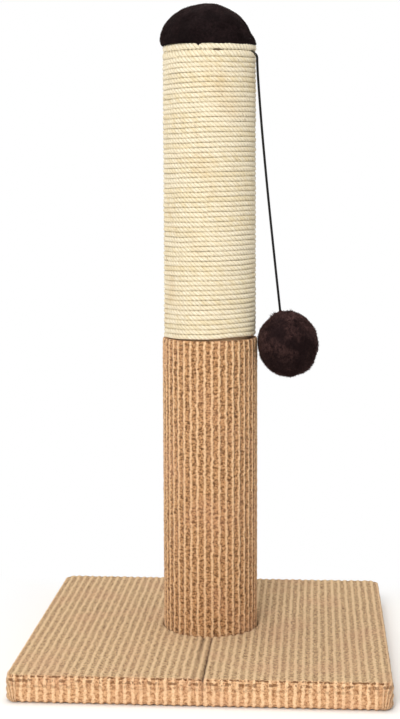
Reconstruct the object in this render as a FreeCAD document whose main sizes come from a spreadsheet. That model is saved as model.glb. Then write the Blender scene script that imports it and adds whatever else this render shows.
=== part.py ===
import FreeCAD, Part

# A cat scratching post, in millimetres. +Z is up and -Y is the front. The origin is on the floor, under
# the middle of the post. From the floor up: a board wrapped in ribbed carpet, a cardboard tube bolted to
# it, a carpet sleeve on the tube's lower half, a winding of sisal rope on its upper half and a stuffed
# plush cap. A plush ball hangs on a cord that leaves the post between the two top turns of the rope.

import math
import os

import Sketcher
from FreeCAD import Placement, Rotation, Vector

SIZES = {
    # Base: a board, and a carpet that is folded over its edges and turned under.
    "base_side": 300.0,
    "corner_radius": 14.0,
    "board_thickness": 12.0,
    "carpet_thickness": 5.4,
    "carpet_gap": 0.3,
    "fold_radius": 4.5,
    "hem_width": 38.0,
    "slit_width": 1.2,
    "slit_offset": 1.0,
    # Post: a cardboard tube with a wooden plug in each end.
    "tube_diameter": 69.0,
    "tube_wall": 3.5,
    "tube_length": 500.0,
    "plug_gap": 0.15,
    "foot_plug_thickness": 18.0,
    "top_plug_thickness": 8.0,
    # Sleeve of the same carpet, with a butted seam at the back.
    "sleeve_length": 252.0,
    "sleeve_gap": 0.4,
    "sleeve_end_gap": 0.3,
    "post_hole_gap": 0.4,
    "seam_width": 0.6,
    # Sisal rope.
    "rope_diameter": 3.6,
    "rope_turn_gap": 0.42,
    "rope_tube_gap": 0.35,
    "rope_end_gap": 0.4,
    "top_turn_rise": 6.5,
    "rope_end_azimuth": 24.0,
    # Cap: a foam dome under a plush skin whose thick rim grips the tube.
    "cap_overhang": 1.45,
    "cap_rise": 29.2,
    "rim_height": 4.5,
    "rim_fillet": 1.6,
    "rim_drop": 6.7,
    "plush_thickness": 2.6,
    "plush_gap": 0.2,
    # Bolt, washer and T-nut that hold the tube's foot to the board.
    "bolt_diameter": 7.9,
    "bolt_length": 30.0,
    "bolt_head_diameter": 17.0,
    "bolt_head_height": 3.0,
    "hex_key": 5.0,
    "hex_depth": 2.2,
    "washer_diameter": 21.0,
    "washer_thickness": 1.6,
    "counterbore_depth": 5.0,
    "bolt_hole_gap": 0.3,
    "nut_bore": 8.0,
    "nut_barrel_diameter": 9.8,
    "nut_barrel_length": 9.5,
    "nut_flange_diameter": 21.0,
    "nut_flange_thickness": 1.6,
    "nut_prong_width": 2.4,
    "nut_prong_length": 6.0,
    "nut_prong_radius": 8.2,
    # Staples.
    "staple_crown": 10.0,
    "staple_leg": 10.0,
    "short_staple_leg": 6.0,
    "staple_wire": 0.8,
    "staple_sink": 1.4,
    "flush_depth": 0.2,
    "hem_staple_spacing": 95.0,
    "seam_staple_spacing": 52.0,
    # Toy: a stuffed plush ball on a cord, a little longer from pole to pole than across.
    "cord_diameter": 2.0,
    "cord_hole_gap": 0.3,
    "knot_diameter": 5.6,
    "knuckle_gap": 0.1,
    "ball_across": 50.4,
    "ball_along": 54.4,
    "ball_skin": 2.2,
    "ball_clearance": 0.3,
    "ball_middle_height": 265.2,
    "ball_azimuth": -5.0,
    "ball_lean": 13.6,
}

# Lengths that follow from the driving sizes.
BOARD_BOTTOM = "(sizes.carpet_thickness + sizes.carpet_gap)"
BOARD_TOP = f"({BOARD_BOTTOM} + sizes.board_thickness)"
BASE_TOP = f"({BOARD_TOP} + sizes.carpet_gap + sizes.carpet_thickness)"
BOARD_SIDE = "(sizes.base_side - 2 * (sizes.carpet_thickness + sizes.carpet_gap))"
BOARD_CORNER = "(sizes.corner_radius - sizes.carpet_thickness - sizes.carpet_gap)"
TUBE_RADIUS = "(sizes.tube_diameter / 2)"
TUBE_BORE_RADIUS = "(sizes.tube_diameter / 2 - sizes.tube_wall)"
TUBE_TOP = f"({BOARD_TOP} + sizes.tube_length)"
PLUG_RADIUS = f"({TUBE_BORE_RADIUS} - sizes.plug_gap)"
FOOT_PLUG_TOP = f"({BOARD_TOP} + sizes.foot_plug_thickness)"
SLEEVE_BORE_RADIUS = f"({TUBE_RADIUS} + sizes.sleeve_gap)"
SLEEVE_RADIUS = f"({SLEEVE_BORE_RADIUS} + sizes.carpet_thickness)"
SLEEVE_FOOT = f"({BOARD_TOP} + sizes.sleeve_end_gap)"
SLEEVE_TOP = f"({SLEEVE_FOOT} + sizes.sleeve_length)"
RIM_BOTTOM = f"({TUBE_TOP} - sizes.rim_drop)"
CAP_MIDDLE = f"({RIM_BOTTOM} + sizes.rim_height)"
RIM_STAPLE_HEIGHT = f"({RIM_BOTTOM} + sizes.rim_drop / 2)"
ROPE_PATH_RADIUS = f"({TUBE_RADIUS} + sizes.rope_tube_gap + sizes.rope_diameter / 2)"
ROPE_OUTER_RADIUS = f"({ROPE_PATH_RADIUS} + sizes.rope_diameter / 2)"
ROPE_PITCH = "(sizes.rope_diameter + sizes.rope_turn_gap)"
CAP_RADIUS = f"({ROPE_OUTER_RADIUS} + sizes.cap_overhang)"

# The rope goes round the post about 59 times. Its 24 top turns are wound one by one. Those below them
# are a plain sleeve of the same outline.
WOUND_TURNS = 24
BIARCS_PER_TURN = 4

STAPLES_PER_SIDE = 3
SEAM_STAPLES = 5
RIM_STAPLES = 6
PLUG_STAPLES = 4
NUT_PRONGS = 4

# The cord's route: from its knot inside the tube, straight out between the two top turns of the rope,
# down past them and along its nearly straight drop. Its last point is the ball's pole.
CORD_AZIMUTH = -12.0
CORD_ROUTE = (
    (30.03, -6.38, 505.1),
    (39.71, -8.44, 505.1),
    (39.8, -8.3, 493.6),
    (41.2, -7.95, 473.0),
    (44.3, -7.35, 434.0),
    (51.3, -6.25, 362.5),
)
ARC_SHARE = 0.45

NODES = (
    "base_board",
    "base_cover",
    "hem_staples",
    "base_bolt",
    "base_washer",
    "t_nut",
    "post_tube",
    "foot_plug",
    "foot_plug_staples",
    "post_sleeve",
    "sleeve_seam_staples",
    "sisal_rope_top_turns",
    "sisal_rope_lower_turns",
    "top_plug",
    "cap_foam",
    "cap_plush",
    "cap_rim_staples",
    "cord_knot",
    "cord_tail",
    "cord_bend",
    "cord_drop",
    "ball_plush",
    "ball_filling",
    "ball_knot",
)

doc = FreeCAD.newDocument("ScratchingPost")
sheet = doc.addObject("Spreadsheet::Sheet", "sizes")


def fill_sheet():
    for row, (alias, size) in enumerate(SIZES.items(), start=1):
        sheet.set(f"A{row}", alias)
        sheet.set(f"B{row}", str(size))
        sheet.setAlias(f"B{row}", alias)
    doc.recompute()


def value(expression):
    return float(sheet.evalExpression(str(expression)))


# Bodies, sketches and features


def new_body(label):
    body = doc.addObject("PartDesign::Body", label)
    body.Label = label
    return body


def new_sketch(body, name, plane="XY_Plane", **offset):
    """A sketch on an origin plane of the body, moved by the offsets x, y and z in its own axes."""
    sketch = body.newObject("Sketcher::SketchObject", name)
    support = next(o for o in body.Origin.OriginFeatures if o.Role == plane)
    sketch.AttachmentSupport = [(support, "")]
    sketch.MapMode = "FlatFace"
    for axis, expression in offset.items():
        sketch.setExpression(f"AttachmentOffset.Base.{axis}", str(expression))
    return sketch


def constrain(sketch, kind, *where, size=None):
    """Adds a constraint. One with a size is bound to that expression."""
    if size is None:
        sketch.addConstraint(Sketcher.Constraint(kind, *where))
        return
    index = sketch.addConstraint(Sketcher.Constraint(kind, *where, value(size)))
    sketch.setExpression(f"Constraints[{index}]", str(size))


def add_circle(sketch, radius):
    """A circle about the sketch's origin."""
    circle = sketch.addGeometry(Part.Circle(Vector(), Vector(0, 0, 1), value(radius)))
    constrain(sketch, "Coincident", circle, 3, -1, 1)
    constrain(sketch, "Radius", circle, size=radius)


def add_outline(sketch, points):
    """A closed outline of level and upright lines through the points."""
    count = len(points)
    first = sketch.GeometryCount
    for i, start in enumerate(points):
        end = points[(i + 1) % count]
        line = sketch.addGeometry(Part.LineSegment(Vector(*start, 0), Vector(*end, 0)))
        level = abs(start[1] - end[1]) < abs(start[0] - end[0])
        constrain(sketch, "Horizontal" if level else "Vertical", line)
    for i in range(count):
        constrain(sketch, "Coincident", first + i, 2, first + (i + 1) % count, 1)
    return first


def add_rectangle(sketch, width, depth):
    """A rectangle about the sketch's origin."""
    x = value(width) / 2
    y = value(depth) / 2
    first = add_outline(sketch, [(-x, -y), (x, -y), (x, y), (-x, y)])
    constrain(sketch, "Symmetric", first, 1, first + 2, 1, -1, 1)
    constrain(sketch, "DistanceX", first, 1, first, 2, size=width)
    constrain(sketch, "DistanceY", first + 1, 1, first + 1, 2, size=depth)


def add_rounded_square(sketch, side, radius):
    """A square about the sketch's origin, with round corners."""
    half = value(side) / 2
    r = value(radius)
    flat = half - r
    first = sketch.GeometryCount
    for quarter in range(4):
        turn = Rotation(Vector(0, 0, 1), 90 * quarter)
        start = turn.multVec(Vector(-flat, -half, 0))
        end = turn.multVec(Vector(flat, -half, 0))
        centre = turn.multVec(Vector(flat, -flat, 0))
        from_angle = math.radians(90 * quarter - 90)
        circle = Part.Circle(centre, Vector(0, 0, 1), r)
        sketch.addGeometry(Part.LineSegment(start, end))
        sketch.addGeometry(Part.ArcOfCircle(circle, from_angle, from_angle + math.pi / 2))
    for corner in range(4):
        side_line = first + 2 * corner
        arc = side_line + 1
        next_line = first + (2 * corner + 2) % 8
        constrain(sketch, "Vertical" if corner % 2 else "Horizontal", side_line)
        constrain(sketch, "Tangent", side_line, 2, arc, 1)
        constrain(sketch, "Tangent", arc, 2, next_line, 1)
        if corner:
            constrain(sketch, "Equal", first + 1, arc)
    constrain(sketch, "Radius", first + 1, size=radius)
    constrain(sketch, "Symmetric", first + 1, 3, first + 5, 3, -1, 1)
    constrain(sketch, "DistanceX", first, 1, first, 2, size=f"{side} - 2 * {radius}")
    constrain(sketch, "DistanceY", first + 2, 1, first + 2, 2, size=f"{side} - 2 * {radius}")


def add_staple(sketch, leg):
    """A staple's outline: its crown lies on the sketch's X axis and its legs point along +Y."""
    half = value("sizes.staple_crown") / 2
    wire = value("sizes.staple_wire")
    length = value(leg)
    inner = half - wire
    outer_side = [(-half, 0), (half, 0), (half, length), (inner, length)]
    inner_side = [(inner, wire), (-inner, wire), (-inner, length), (-half, length)]
    first = add_outline(sketch, outer_side + inner_side)
    constrain(sketch, "PointOnObject", first, 1, -1)
    constrain(sketch, "DistanceX", first, 1, -1, 1, size="sizes.staple_crown / 2")
    constrain(sketch, "Equal", first + 2, first + 6)
    constrain(sketch, "Equal", first + 3, first + 5)
    constrain(sketch, "DistanceX", first, 1, first, 2, size="sizes.staple_crown")
    constrain(sketch, "DistanceY", first + 1, 1, first + 1, 2, size=leg)
    constrain(sketch, "DistanceX", first + 2, 2, first + 2, 1, size="sizes.staple_wire")
    constrain(sketch, "DistanceY", first + 1, 1, first + 4, 1, size="sizes.staple_wire")


def pad(body, sketch, length, symmetric=False):
    feature = body.newObject("PartDesign::Pad", f"{sketch.Name}_pad")
    feature.Profile = sketch
    feature.setExpression("Length", str(length))
    if symmetric:
        feature.SideType = "Symmetric"
    doc.recompute()
    return feature


def pocket(body, sketch, length=None, upward=False):
    """A cut along the sketch's normal, downward unless told otherwise, right through if no length."""
    before = body.Shape.Volume
    feature = body.newObject("PartDesign::Pocket", f"{sketch.Name}_pocket")
    feature.Profile = sketch
    feature.Reversed = upward
    if length is None:
        feature.Type = "ThroughAll"
    else:
        feature.setExpression("Length", str(length))
    doc.recompute()
    if not body.Shape.Volume < before:
        raise ValueError(f"{feature.Name} cut nothing")
    return feature


def ring_of(body, features, count):
    """Repeats features evenly about the Z axis."""
    pattern = body.newObject("PartDesign::PolarPattern", f"{body.Name}_ring")
    pattern.Originals = features
    z_axis = next(o for o in body.Origin.OriginFeatures if o.Role == "Z_Axis")
    pattern.Axis = (z_axis, [""])
    pattern.Angle = 360
    pattern.Occurrences = count
    body.Tip = pattern
    doc.recompute()


def round_edges(body, feature, wanted, radius):
    """Fillets the edges of the feature's shape that the test picks."""
    names = [f"Edge{i}" for i, edge in enumerate(feature.Shape.Edges, start=1) if wanted(edge)]
    fillet = body.newObject("PartDesign::Fillet", f"{body.Name}_fillet")
    fillet.Base = (feature, names)
    fillet.setExpression("Radius", str(radius))
    doc.recompute()


def disc(label, radius, height, bottom, bore=None):
    """A body that is a plain disc, or a ring if it has a bore."""
    body = new_body(label)
    sketch = new_sketch(body, f"{label}_outline", z=bottom)
    add_circle(sketch, radius)
    if bore is not None:
        add_circle(sketch, bore)
    pad(body, sketch, height)
    return body


def primitive(kind, name, z=None, **sizes):
    solid = doc.addObject(kind, name)
    for prop, expression in sizes.items():
        solid.setExpression(prop, str(expression))
    if z is not None:
        solid.setExpression("Placement.Base.z", str(z))
    return solid


def combine(kind, label, base, tool):
    """A Part boolean of two objects."""
    result = doc.addObject(kind, label)
    result.Label = label
    result.Base = base
    result.Tool = tool
    doc.recompute()
    return result


def cut_all(label, base, tools):
    """Cuts each tool from the base in turn. The last cut has the label."""
    result = base
    for i, tool in enumerate(tools, start=1):
        name = label if i == len(tools) else f"{label}_cut_{i}"
        result = combine("Part::Cut", name, result, tool)
    return result


def feature_of(label, shape):
    holder = doc.addObject("Part::Feature", label)
    holder.Label = label
    holder.Shape = shape
    return holder


# Base


def build_hem_staples():
    """Staples in the turned-under hem, with their legs up into the board."""
    body = new_body("hem_staples")
    pads = []
    middle = (STAPLES_PER_SIDE - 1) / 2
    for i in range(STAPLES_PER_SIDE):
        sketch = new_sketch(
            body,
            f"hem_staple_{i + 1}",
            plane="XZ_Plane",
            x=f"{i - middle} * sizes.hem_staple_spacing",
            y="sizes.staple_sink",
            z="sizes.base_side / 2 - sizes.hem_width / 2",
        )
        add_staple(sketch, "sizes.staple_leg")
        pads.append(pad(body, sketch, "sizes.staple_wire", symmetric=True))
    ring_of(body, pads, 4)
    return body


def build_base_board(staples):
    body = new_body("base_board_blank")
    outline = new_sketch(body, "board_outline", z=BOARD_BOTTOM)
    add_rounded_square(outline, BOARD_SIDE, BOARD_CORNER)
    pad(body, outline, "sizes.board_thickness")
    hole = new_sketch(body, "board_bolt_hole", z=BOARD_TOP)
    add_circle(hole, "sizes.bolt_diameter / 2 + sizes.bolt_hole_gap")
    pocket(body, hole)
    counterbore = new_sketch(body, "board_counterbore", z=BOARD_BOTTOM)
    add_circle(counterbore, "sizes.washer_diameter / 2 + sizes.bolt_hole_gap")
    pocket(body, counterbore, "sizes.counterbore_depth", upward=True)
    return cut_all("base_board", body, [staples])


def build_base_cover(staples):
    """One piece of carpet, with a round hole for the post and a slit from there to the front."""
    body = new_body("base_cover_blank")
    outline = new_sketch(body, "cover_outline")
    add_rounded_square(outline, "sizes.base_side", "sizes.corner_radius")
    block = pad(body, outline, BASE_TOP)
    top = value(BASE_TOP)

    def is_fold(edge):
        heights = [vertex.Z for vertex in edge.Vertexes]
        return max(heights) < 0.001 or min(heights) > top - 0.001

    round_edges(body, block, is_fold, "sizes.fold_radius")
    inside = new_sketch(body, "cover_inside", z="sizes.carpet_thickness")
    add_rounded_square(
        inside,
        f"({BOARD_SIDE} + 2 * sizes.carpet_gap)",
        f"({BOARD_CORNER} + sizes.carpet_gap)",
    )
    pocket(body, inside, "sizes.board_thickness + 2 * sizes.carpet_gap", upward=True)
    window = new_sketch(body, "cover_window")
    add_rounded_square(window, "(sizes.base_side - 2 * sizes.hem_width)", "sizes.corner_radius")
    pocket(body, window, "sizes.carpet_thickness", upward=True)
    hole = new_sketch(body, "cover_post_hole", z=BASE_TOP)
    add_circle(hole, f"{SLEEVE_RADIUS} + sizes.post_hole_gap")
    pocket(body, hole, "sizes.carpet_thickness")
    slit = new_sketch(body, "cover_slit", z=BASE_TOP, x="sizes.slit_offset", y="-sizes.base_side / 4")
    add_rectangle(slit, "sizes.slit_width", "sizes.base_side / 2")
    pocket(body, slit)
    return cut_all("base_cover", body, [staples])


def build_bolt():
    """A flat-headed bolt with a hexagon socket, its head below and its shank up through the board."""
    washer_bottom = f"({BOARD_BOTTOM} + sizes.counterbore_depth - sizes.washer_thickness)"
    head_bottom = f"({washer_bottom} - sizes.bolt_head_height)"
    disc(
        "base_washer",
        "sizes.washer_diameter / 2",
        "sizes.washer_thickness",
        washer_bottom,
        bore="sizes.bolt_diameter / 2 + sizes.bolt_hole_gap",
    )
    body = new_body("base_bolt")
    head = new_sketch(body, "bolt_head", z=head_bottom)
    add_circle(head, "sizes.bolt_head_diameter / 2")
    pad(body, head, "sizes.bolt_head_height")
    shank = new_sketch(body, "bolt_shank", z=washer_bottom)
    add_circle(shank, "sizes.bolt_diameter / 2")
    pad(body, shank, "sizes.bolt_length")
    socket = new_sketch(body, "bolt_socket", z=head_bottom)
    add_hexagon(socket, "sizes.hex_key")
    pocket(body, socket, "sizes.hex_depth", upward=True)


def add_hexagon(sketch, across_flats):
    """A hexagon about the sketch's origin, with two sides upright, on a construction circle."""
    corner = value(across_flats) / math.sqrt(3)
    angles = [math.radians(30 + 60 * i) for i in range(6)]
    corners = [Vector(corner * math.cos(a), corner * math.sin(a), 0) for a in angles]
    for i in range(6):
        sketch.addGeometry(Part.LineSegment(corners[i], corners[(i + 1) % 6]))
    circle = sketch.addGeometry(Part.Circle(Vector(), Vector(0, 0, 1), corner), True)
    constrain(sketch, "Coincident", circle, 3, -1, 1)
    for i in range(6):
        constrain(sketch, "Coincident", i, 2, (i + 1) % 6, 1)
        constrain(sketch, "PointOnObject", i, 1, circle)
        if i:
            constrain(sketch, "Equal", 0, i)
    constrain(sketch, "Vertical", 5)
    constrain(sketch, "DistanceX", 2, 1, 0, 1, size=across_flats)


# Post


def build_t_nut():
    """A flange on top of the plug, a barrel in its hole and prongs driven into it."""
    body = disc("t_nut", "sizes.nut_flange_diameter / 2", "sizes.nut_flange_thickness", FOOT_PLUG_TOP)
    barrel_bottom = f"({FOOT_PLUG_TOP} - sizes.nut_barrel_length)"
    barrel = new_sketch(body, "nut_barrel", z=barrel_bottom)
    add_circle(barrel, "sizes.nut_barrel_diameter / 2")
    pad(body, barrel, "sizes.nut_barrel_length")
    bore = new_sketch(body, "nut_bore_outline", z=f"{FOOT_PLUG_TOP} + sizes.nut_flange_thickness")
    add_circle(bore, "sizes.nut_bore / 2")
    pocket(body, bore)
    prong = new_sketch(
        body, "nut_prong", x="sizes.nut_prong_radius", z=f"{FOOT_PLUG_TOP} - sizes.nut_prong_length"
    )
    add_rectangle(prong, "sizes.staple_wire", "sizes.nut_prong_width")
    ring_of(body, [pad(body, prong, "sizes.nut_prong_length")], NUT_PRONGS)
    return body


def build_foot_plug(t_nut, staples):
    body = disc("foot_plug_blank", PLUG_RADIUS, "sizes.foot_plug_thickness", BOARD_TOP)
    hole = new_sketch(body, "foot_plug_hole", z=FOOT_PLUG_TOP)
    add_circle(hole, "sizes.nut_barrel_diameter / 2")
    pocket(body, hole)
    return cut_all("foot_plug", body, [t_nut, staples])


def level_staples(label, leg, crown_radius, height, count):
    """A ring of staples driven level into the post, the first from the front."""
    body = new_body(label)
    sketch = new_sketch(body, f"{label}_outline", y=f"-({crown_radius})", z=height)
    add_staple(sketch, leg)
    ring_of(body, [pad(body, sketch, "sizes.staple_wire", symmetric=True)], count)
    return body


def build_seam_staples():
    """Staples across the sleeve's seam, driven in from the back, with their crowns sunk in the pile."""
    body = new_body("sleeve_seam_staples")
    middle = (SEAM_STAPLES - 1) / 2
    height = f"({SLEEVE_FOOT} + sizes.sleeve_length / 2)"
    pads = []
    for i in range(SEAM_STAPLES):
        sketch = new_sketch(
            body,
            f"seam_staple_{i + 1}",
            y=f"-({SLEEVE_RADIUS} - sizes.staple_sink)",
            z=f"{height} + {i - middle} * sizes.seam_staple_spacing",
        )
        add_staple(sketch, "sizes.short_staple_leg")
        pads.append(pad(body, sketch, "sizes.staple_wire", symmetric=True))
    body.Placement = Placement(Vector(), Rotation(Vector(0, 0, 1), 180))
    doc.recompute()
    return body


def build_post_tube(staple_rings):
    tube = disc("post_tube_blank", TUBE_RADIUS, "sizes.tube_length", BOARD_TOP, bore=TUBE_BORE_RADIUS)
    hole = primitive(
        "Part::Cylinder",
        "cord_hole",
        Radius="sizes.cord_diameter / 2 + sizes.cord_hole_gap",
        Height="sizes.tube_diameter",
    )
    hole.Placement = Placement(
        Vector(0, 0, CORD_ROUTE[0][2]),
        Rotation(Vector(0, 0, 1), CORD_AZIMUTH) * Rotation(Vector(0, 1, 0), 90),
    )
    cut_all("post_tube", tube, staple_rings + [hole])


def build_post_sleeve(staples):
    body = disc(
        "post_sleeve_blank", SLEEVE_RADIUS, "sizes.sleeve_length", SLEEVE_FOOT, bore=SLEEVE_BORE_RADIUS
    )
    seam = new_sketch(body, "sleeve_seam", z=SLEEVE_TOP, y=SLEEVE_RADIUS)
    add_rectangle(seam, "sizes.seam_width", f"{SLEEVE_RADIUS}")
    pocket(body, seam)
    cut_all("post_sleeve", body, [staples])


def rope_end_height():
    return value(f"{RIM_BOTTOM} - sizes.rope_end_gap - sizes.rope_diameter / 2")


def rope_height(turn):
    """Height of the rope's centre line. The top turn climbs further, which lets the cord out."""
    pitch = value(ROPE_PITCH)
    top_turn = max(turn - (WOUND_TURNS - 1), 0)
    extra = value("sizes.top_turn_rise") - pitch
    start = rope_end_height() - WOUND_TURNS * pitch - extra
    return start + turn * pitch + top_turn * extra


def rope_point(turn):
    angle = math.radians(value("sizes.rope_end_azimuth") + 360 * (turn - WOUND_TURNS))
    radius = value(ROPE_PATH_RADIUS)
    return Vector(radius * math.cos(angle), radius * math.sin(angle), rope_height(turn))


def rope_tangent(turn):
    angle = math.radians(value("sizes.rope_end_azimuth") + 360 * (turn - WOUND_TURNS))
    step = 1 / BIARCS_PER_TURN
    low = max(turn - step, 0)
    high = min(turn + step, WOUND_TURNS)
    slope = (rope_height(high) - rope_height(low)) / (high - low)
    around = 2 * math.pi * value(ROPE_PATH_RADIUS)
    return Vector(-around * math.sin(angle), around * math.cos(angle), slope).normalize()


def arc_between(start, corner, end):
    """The arc that touches both legs of the corner, which are equally long."""
    half_chord = (end - start).Length / 2
    middle = (start + end) * 0.5
    to_middle = middle - corner
    leg = (start - corner).Length
    radius = half_chord * leg / to_middle.Length
    centre_distance = math.hypot(radius, leg)
    through = corner + to_middle.normalize() * (centre_distance - radius)
    return Part.Arc(start, through, end).toShape()


def biarc(start, start_way, end, end_way):
    """Two arcs that meet smoothly, from one point and direction to another."""
    gap = end - start
    ways = start_way + end_way
    a = ways.dot(ways) - 4
    b = -2 * gap.dot(ways)
    c = gap.dot(gap)
    reach = (-b - math.sqrt(b * b - 4 * a * c)) / (2 * a)
    first_corner = start + start_way * reach
    second_corner = end - end_way * reach
    joint = (first_corner + second_corner) * 0.5
    return [arc_between(start, first_corner, joint), arc_between(joint, second_corner, end)]


def build_wound_rope():
    """One unbroken tube of 24 turns, with a straight end one rope diameter long at each end."""
    diameter = value("sizes.rope_diameter")
    bottom = rope_point(0)
    tail = bottom - rope_tangent(0) * diameter
    edges = [Part.LineSegment(tail, bottom).toShape()]
    for i in range(WOUND_TURNS * BIARCS_PER_TURN):
        low = i / BIARCS_PER_TURN
        high = (i + 1) / BIARCS_PER_TURN
        edges += biarc(rope_point(low), rope_tangent(low), rope_point(high), rope_tangent(high))
    top = rope_point(WOUND_TURNS)
    edges.append(Part.LineSegment(top, top + rope_tangent(WOUND_TURNS) * diameter).toShape())
    rope = tube_along(edges, diameter / 2)
    feature_of("sisal_rope_top_turns", rope)
    report_tube("sisal_rope_top_turns", rope, edges, diameter)
    report_rope_gap(diameter)


def report_rope_gap(diameter):
    """The least gap between two turns, measured between points along the centre line."""
    points_per_turn = 90
    skipped = points_per_turn // 2
    points = [rope_point(i / points_per_turn) for i in range(WOUND_TURNS * points_per_turn + 1)]
    gap = min(
        (points[i] - point).Length
        for j, point in enumerate(points)
        for i in range(j + skipped, min(j + 3 * skipped, len(points)))
    )
    print(f"sisal_rope_top_turns: least gap to itself {gap - diameter:.3f} mm")


def build_lower_rope():
    bottom = f"({SLEEVE_TOP} + sizes.sleeve_end_gap)"
    tail_drop = value("sizes.rope_diameter") / 2 + value("sizes.sleeve_end_gap")
    top = rope_height(0) - tail_drop
    disc(
        "sisal_rope_lower_turns",
        ROPE_OUTER_RADIUS,
        f"{top} - {bottom}",
        bottom,
        bore=f"{TUBE_RADIUS} + sizes.rope_tube_gap",
    )


# Cap


def build_cap(staples):
    outer_dome = primitive(
        "Part::Ellipsoid",
        "cap_outer_dome",
        z=CAP_MIDDLE,
        Radius1="sizes.cap_rise",
        Radius2=CAP_RADIUS,
        Radius3=CAP_RADIUS,
    )
    outer_dome.Angle1 = 0
    rim = primitive(
        "Part::Cylinder",
        "cap_rim",
        z=RIM_BOTTOM,
        Radius=CAP_RADIUS,
        Height="sizes.rim_height",
    )
    doc.recompute()
    rounded_rim = doc.addObject("Part::Fillet", "cap_rounded_rim")
    rounded_rim.Base = rim
    fillet = value("sizes.rim_fillet")
    low = value(RIM_BOTTOM) + 0.001
    edges = enumerate(rim.Shape.Edges, start=1)
    rounded_rim.Edges = [(i, fillet, fillet) for i, edge in edges if edge.BoundBox.ZMax < low]
    outside = combine("Part::Fuse", "cap_outside", outer_dome, rounded_rim)
    above_tube = primitive(
        "Part::Cylinder", "above_tube", z=TUBE_TOP, Radius=CAP_RADIUS, Height="sizes.cap_rise"
    )
    hollow = combine("Part::Common", "cap_hollow", cap_inner_dome("hollow", "0"), above_tube)
    tube_seat = primitive(
        "Part::Cylinder",
        "tube_seat",
        z=f"{RIM_BOTTOM} - 1",
        Radius=f"{TUBE_RADIUS} + sizes.plush_gap",
        Height="sizes.rim_drop + 1 + sizes.plush_gap",
    )
    cut_all("cap_plush", outside, [hollow, tube_seat, staples])
    above_plug = primitive(
        "Part::Cylinder",
        "above_plug",
        z=f"{TUBE_TOP} + sizes.plush_gap",
        Radius=CAP_RADIUS,
        Height="sizes.cap_rise",
    )
    combine("Part::Common", "cap_foam", cap_inner_dome("foam", "sizes.plush_gap"), above_plug)


def cap_inner_dome(name, gap):
    inset = f"sizes.plush_thickness + {gap}"
    dome = primitive(
        "Part::Ellipsoid",
        f"cap_{name}_dome",
        z=CAP_MIDDLE,
        Radius1=f"sizes.cap_rise - ({inset})",
        Radius2=f"{CAP_RADIUS} - ({inset})",
        Radius3=f"{CAP_RADIUS} - ({inset})",
    )
    return dome


# Toy


def ball_centre():
    """The ball hangs beside the sleeve with a small clearance."""
    lean = math.radians(value("sizes.ball_lean"))
    across = value("sizes.ball_across") / 2
    along = value("sizes.ball_along") / 2
    reach = math.hypot(across * math.cos(lean), along * math.sin(lean))
    radius = value(SLEEVE_RADIUS) + value("sizes.ball_clearance") + reach
    azimuth = math.radians(value("sizes.ball_azimuth"))
    height = value("sizes.ball_middle_height")
    return Vector(radius * math.cos(azimuth), radius * math.sin(azimuth), height)


def ball_turn():
    """Leans the ball's axis toward the post."""
    azimuth = value("sizes.ball_azimuth")
    lean = Rotation(Vector(0, 1, 0), -value("sizes.ball_lean"))
    return Rotation(Vector(0, 0, 1), azimuth) * lean


def knuckle_reach():
    """From a knuckle's centre to the face in front of it."""
    return value("sizes.cord_diameter / 2 + sizes.knuckle_gap")


def cord_points():
    pole = ball_turn().multVec(Vector(0, 0, 1))
    last = ball_centre() + pole * (value("sizes.ball_along") / 2 + knuckle_reach())
    return [Vector(*point) for point in CORD_ROUTE] + [last]


def route_arcs(points):
    """The arc at each inner point of the route, as large as its two runs allow."""
    arcs = []
    for before, corner, after in zip(points, points[1:], points[2:]):
        leg = ARC_SHARE * min((corner - before).Length, (after - corner).Length)
        start = corner + (before - corner).normalize() * leg
        end = corner + (after - corner).normalize() * leg
        arcs.append(arc_between(start, corner, end))
    return arcs


def tube_along(edges, radius):
    wire = Part.Wire(edges)
    first = edges[0]
    start = first.valueAt(first.FirstParameter)
    way = first.tangentAt(first.FirstParameter)
    profile = Part.Wire([Part.Circle(start, way, radius).toShape()])
    return wire.makePipeShell([profile], True, False)


def report_tube(label, solid, edges, diameter):
    length = sum(edge.Length for edge in edges)
    ratio = solid.Volume / (math.pi * diameter**2 / 4 * length)
    print(f"{label}: length {length:.1f} mm, volume {ratio:.5f} of section times length")


def end_of(edge):
    return edge.valueAt(edge.LastParameter)


def start_of(edge):
    return edge.valueAt(edge.FirstParameter)


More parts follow.
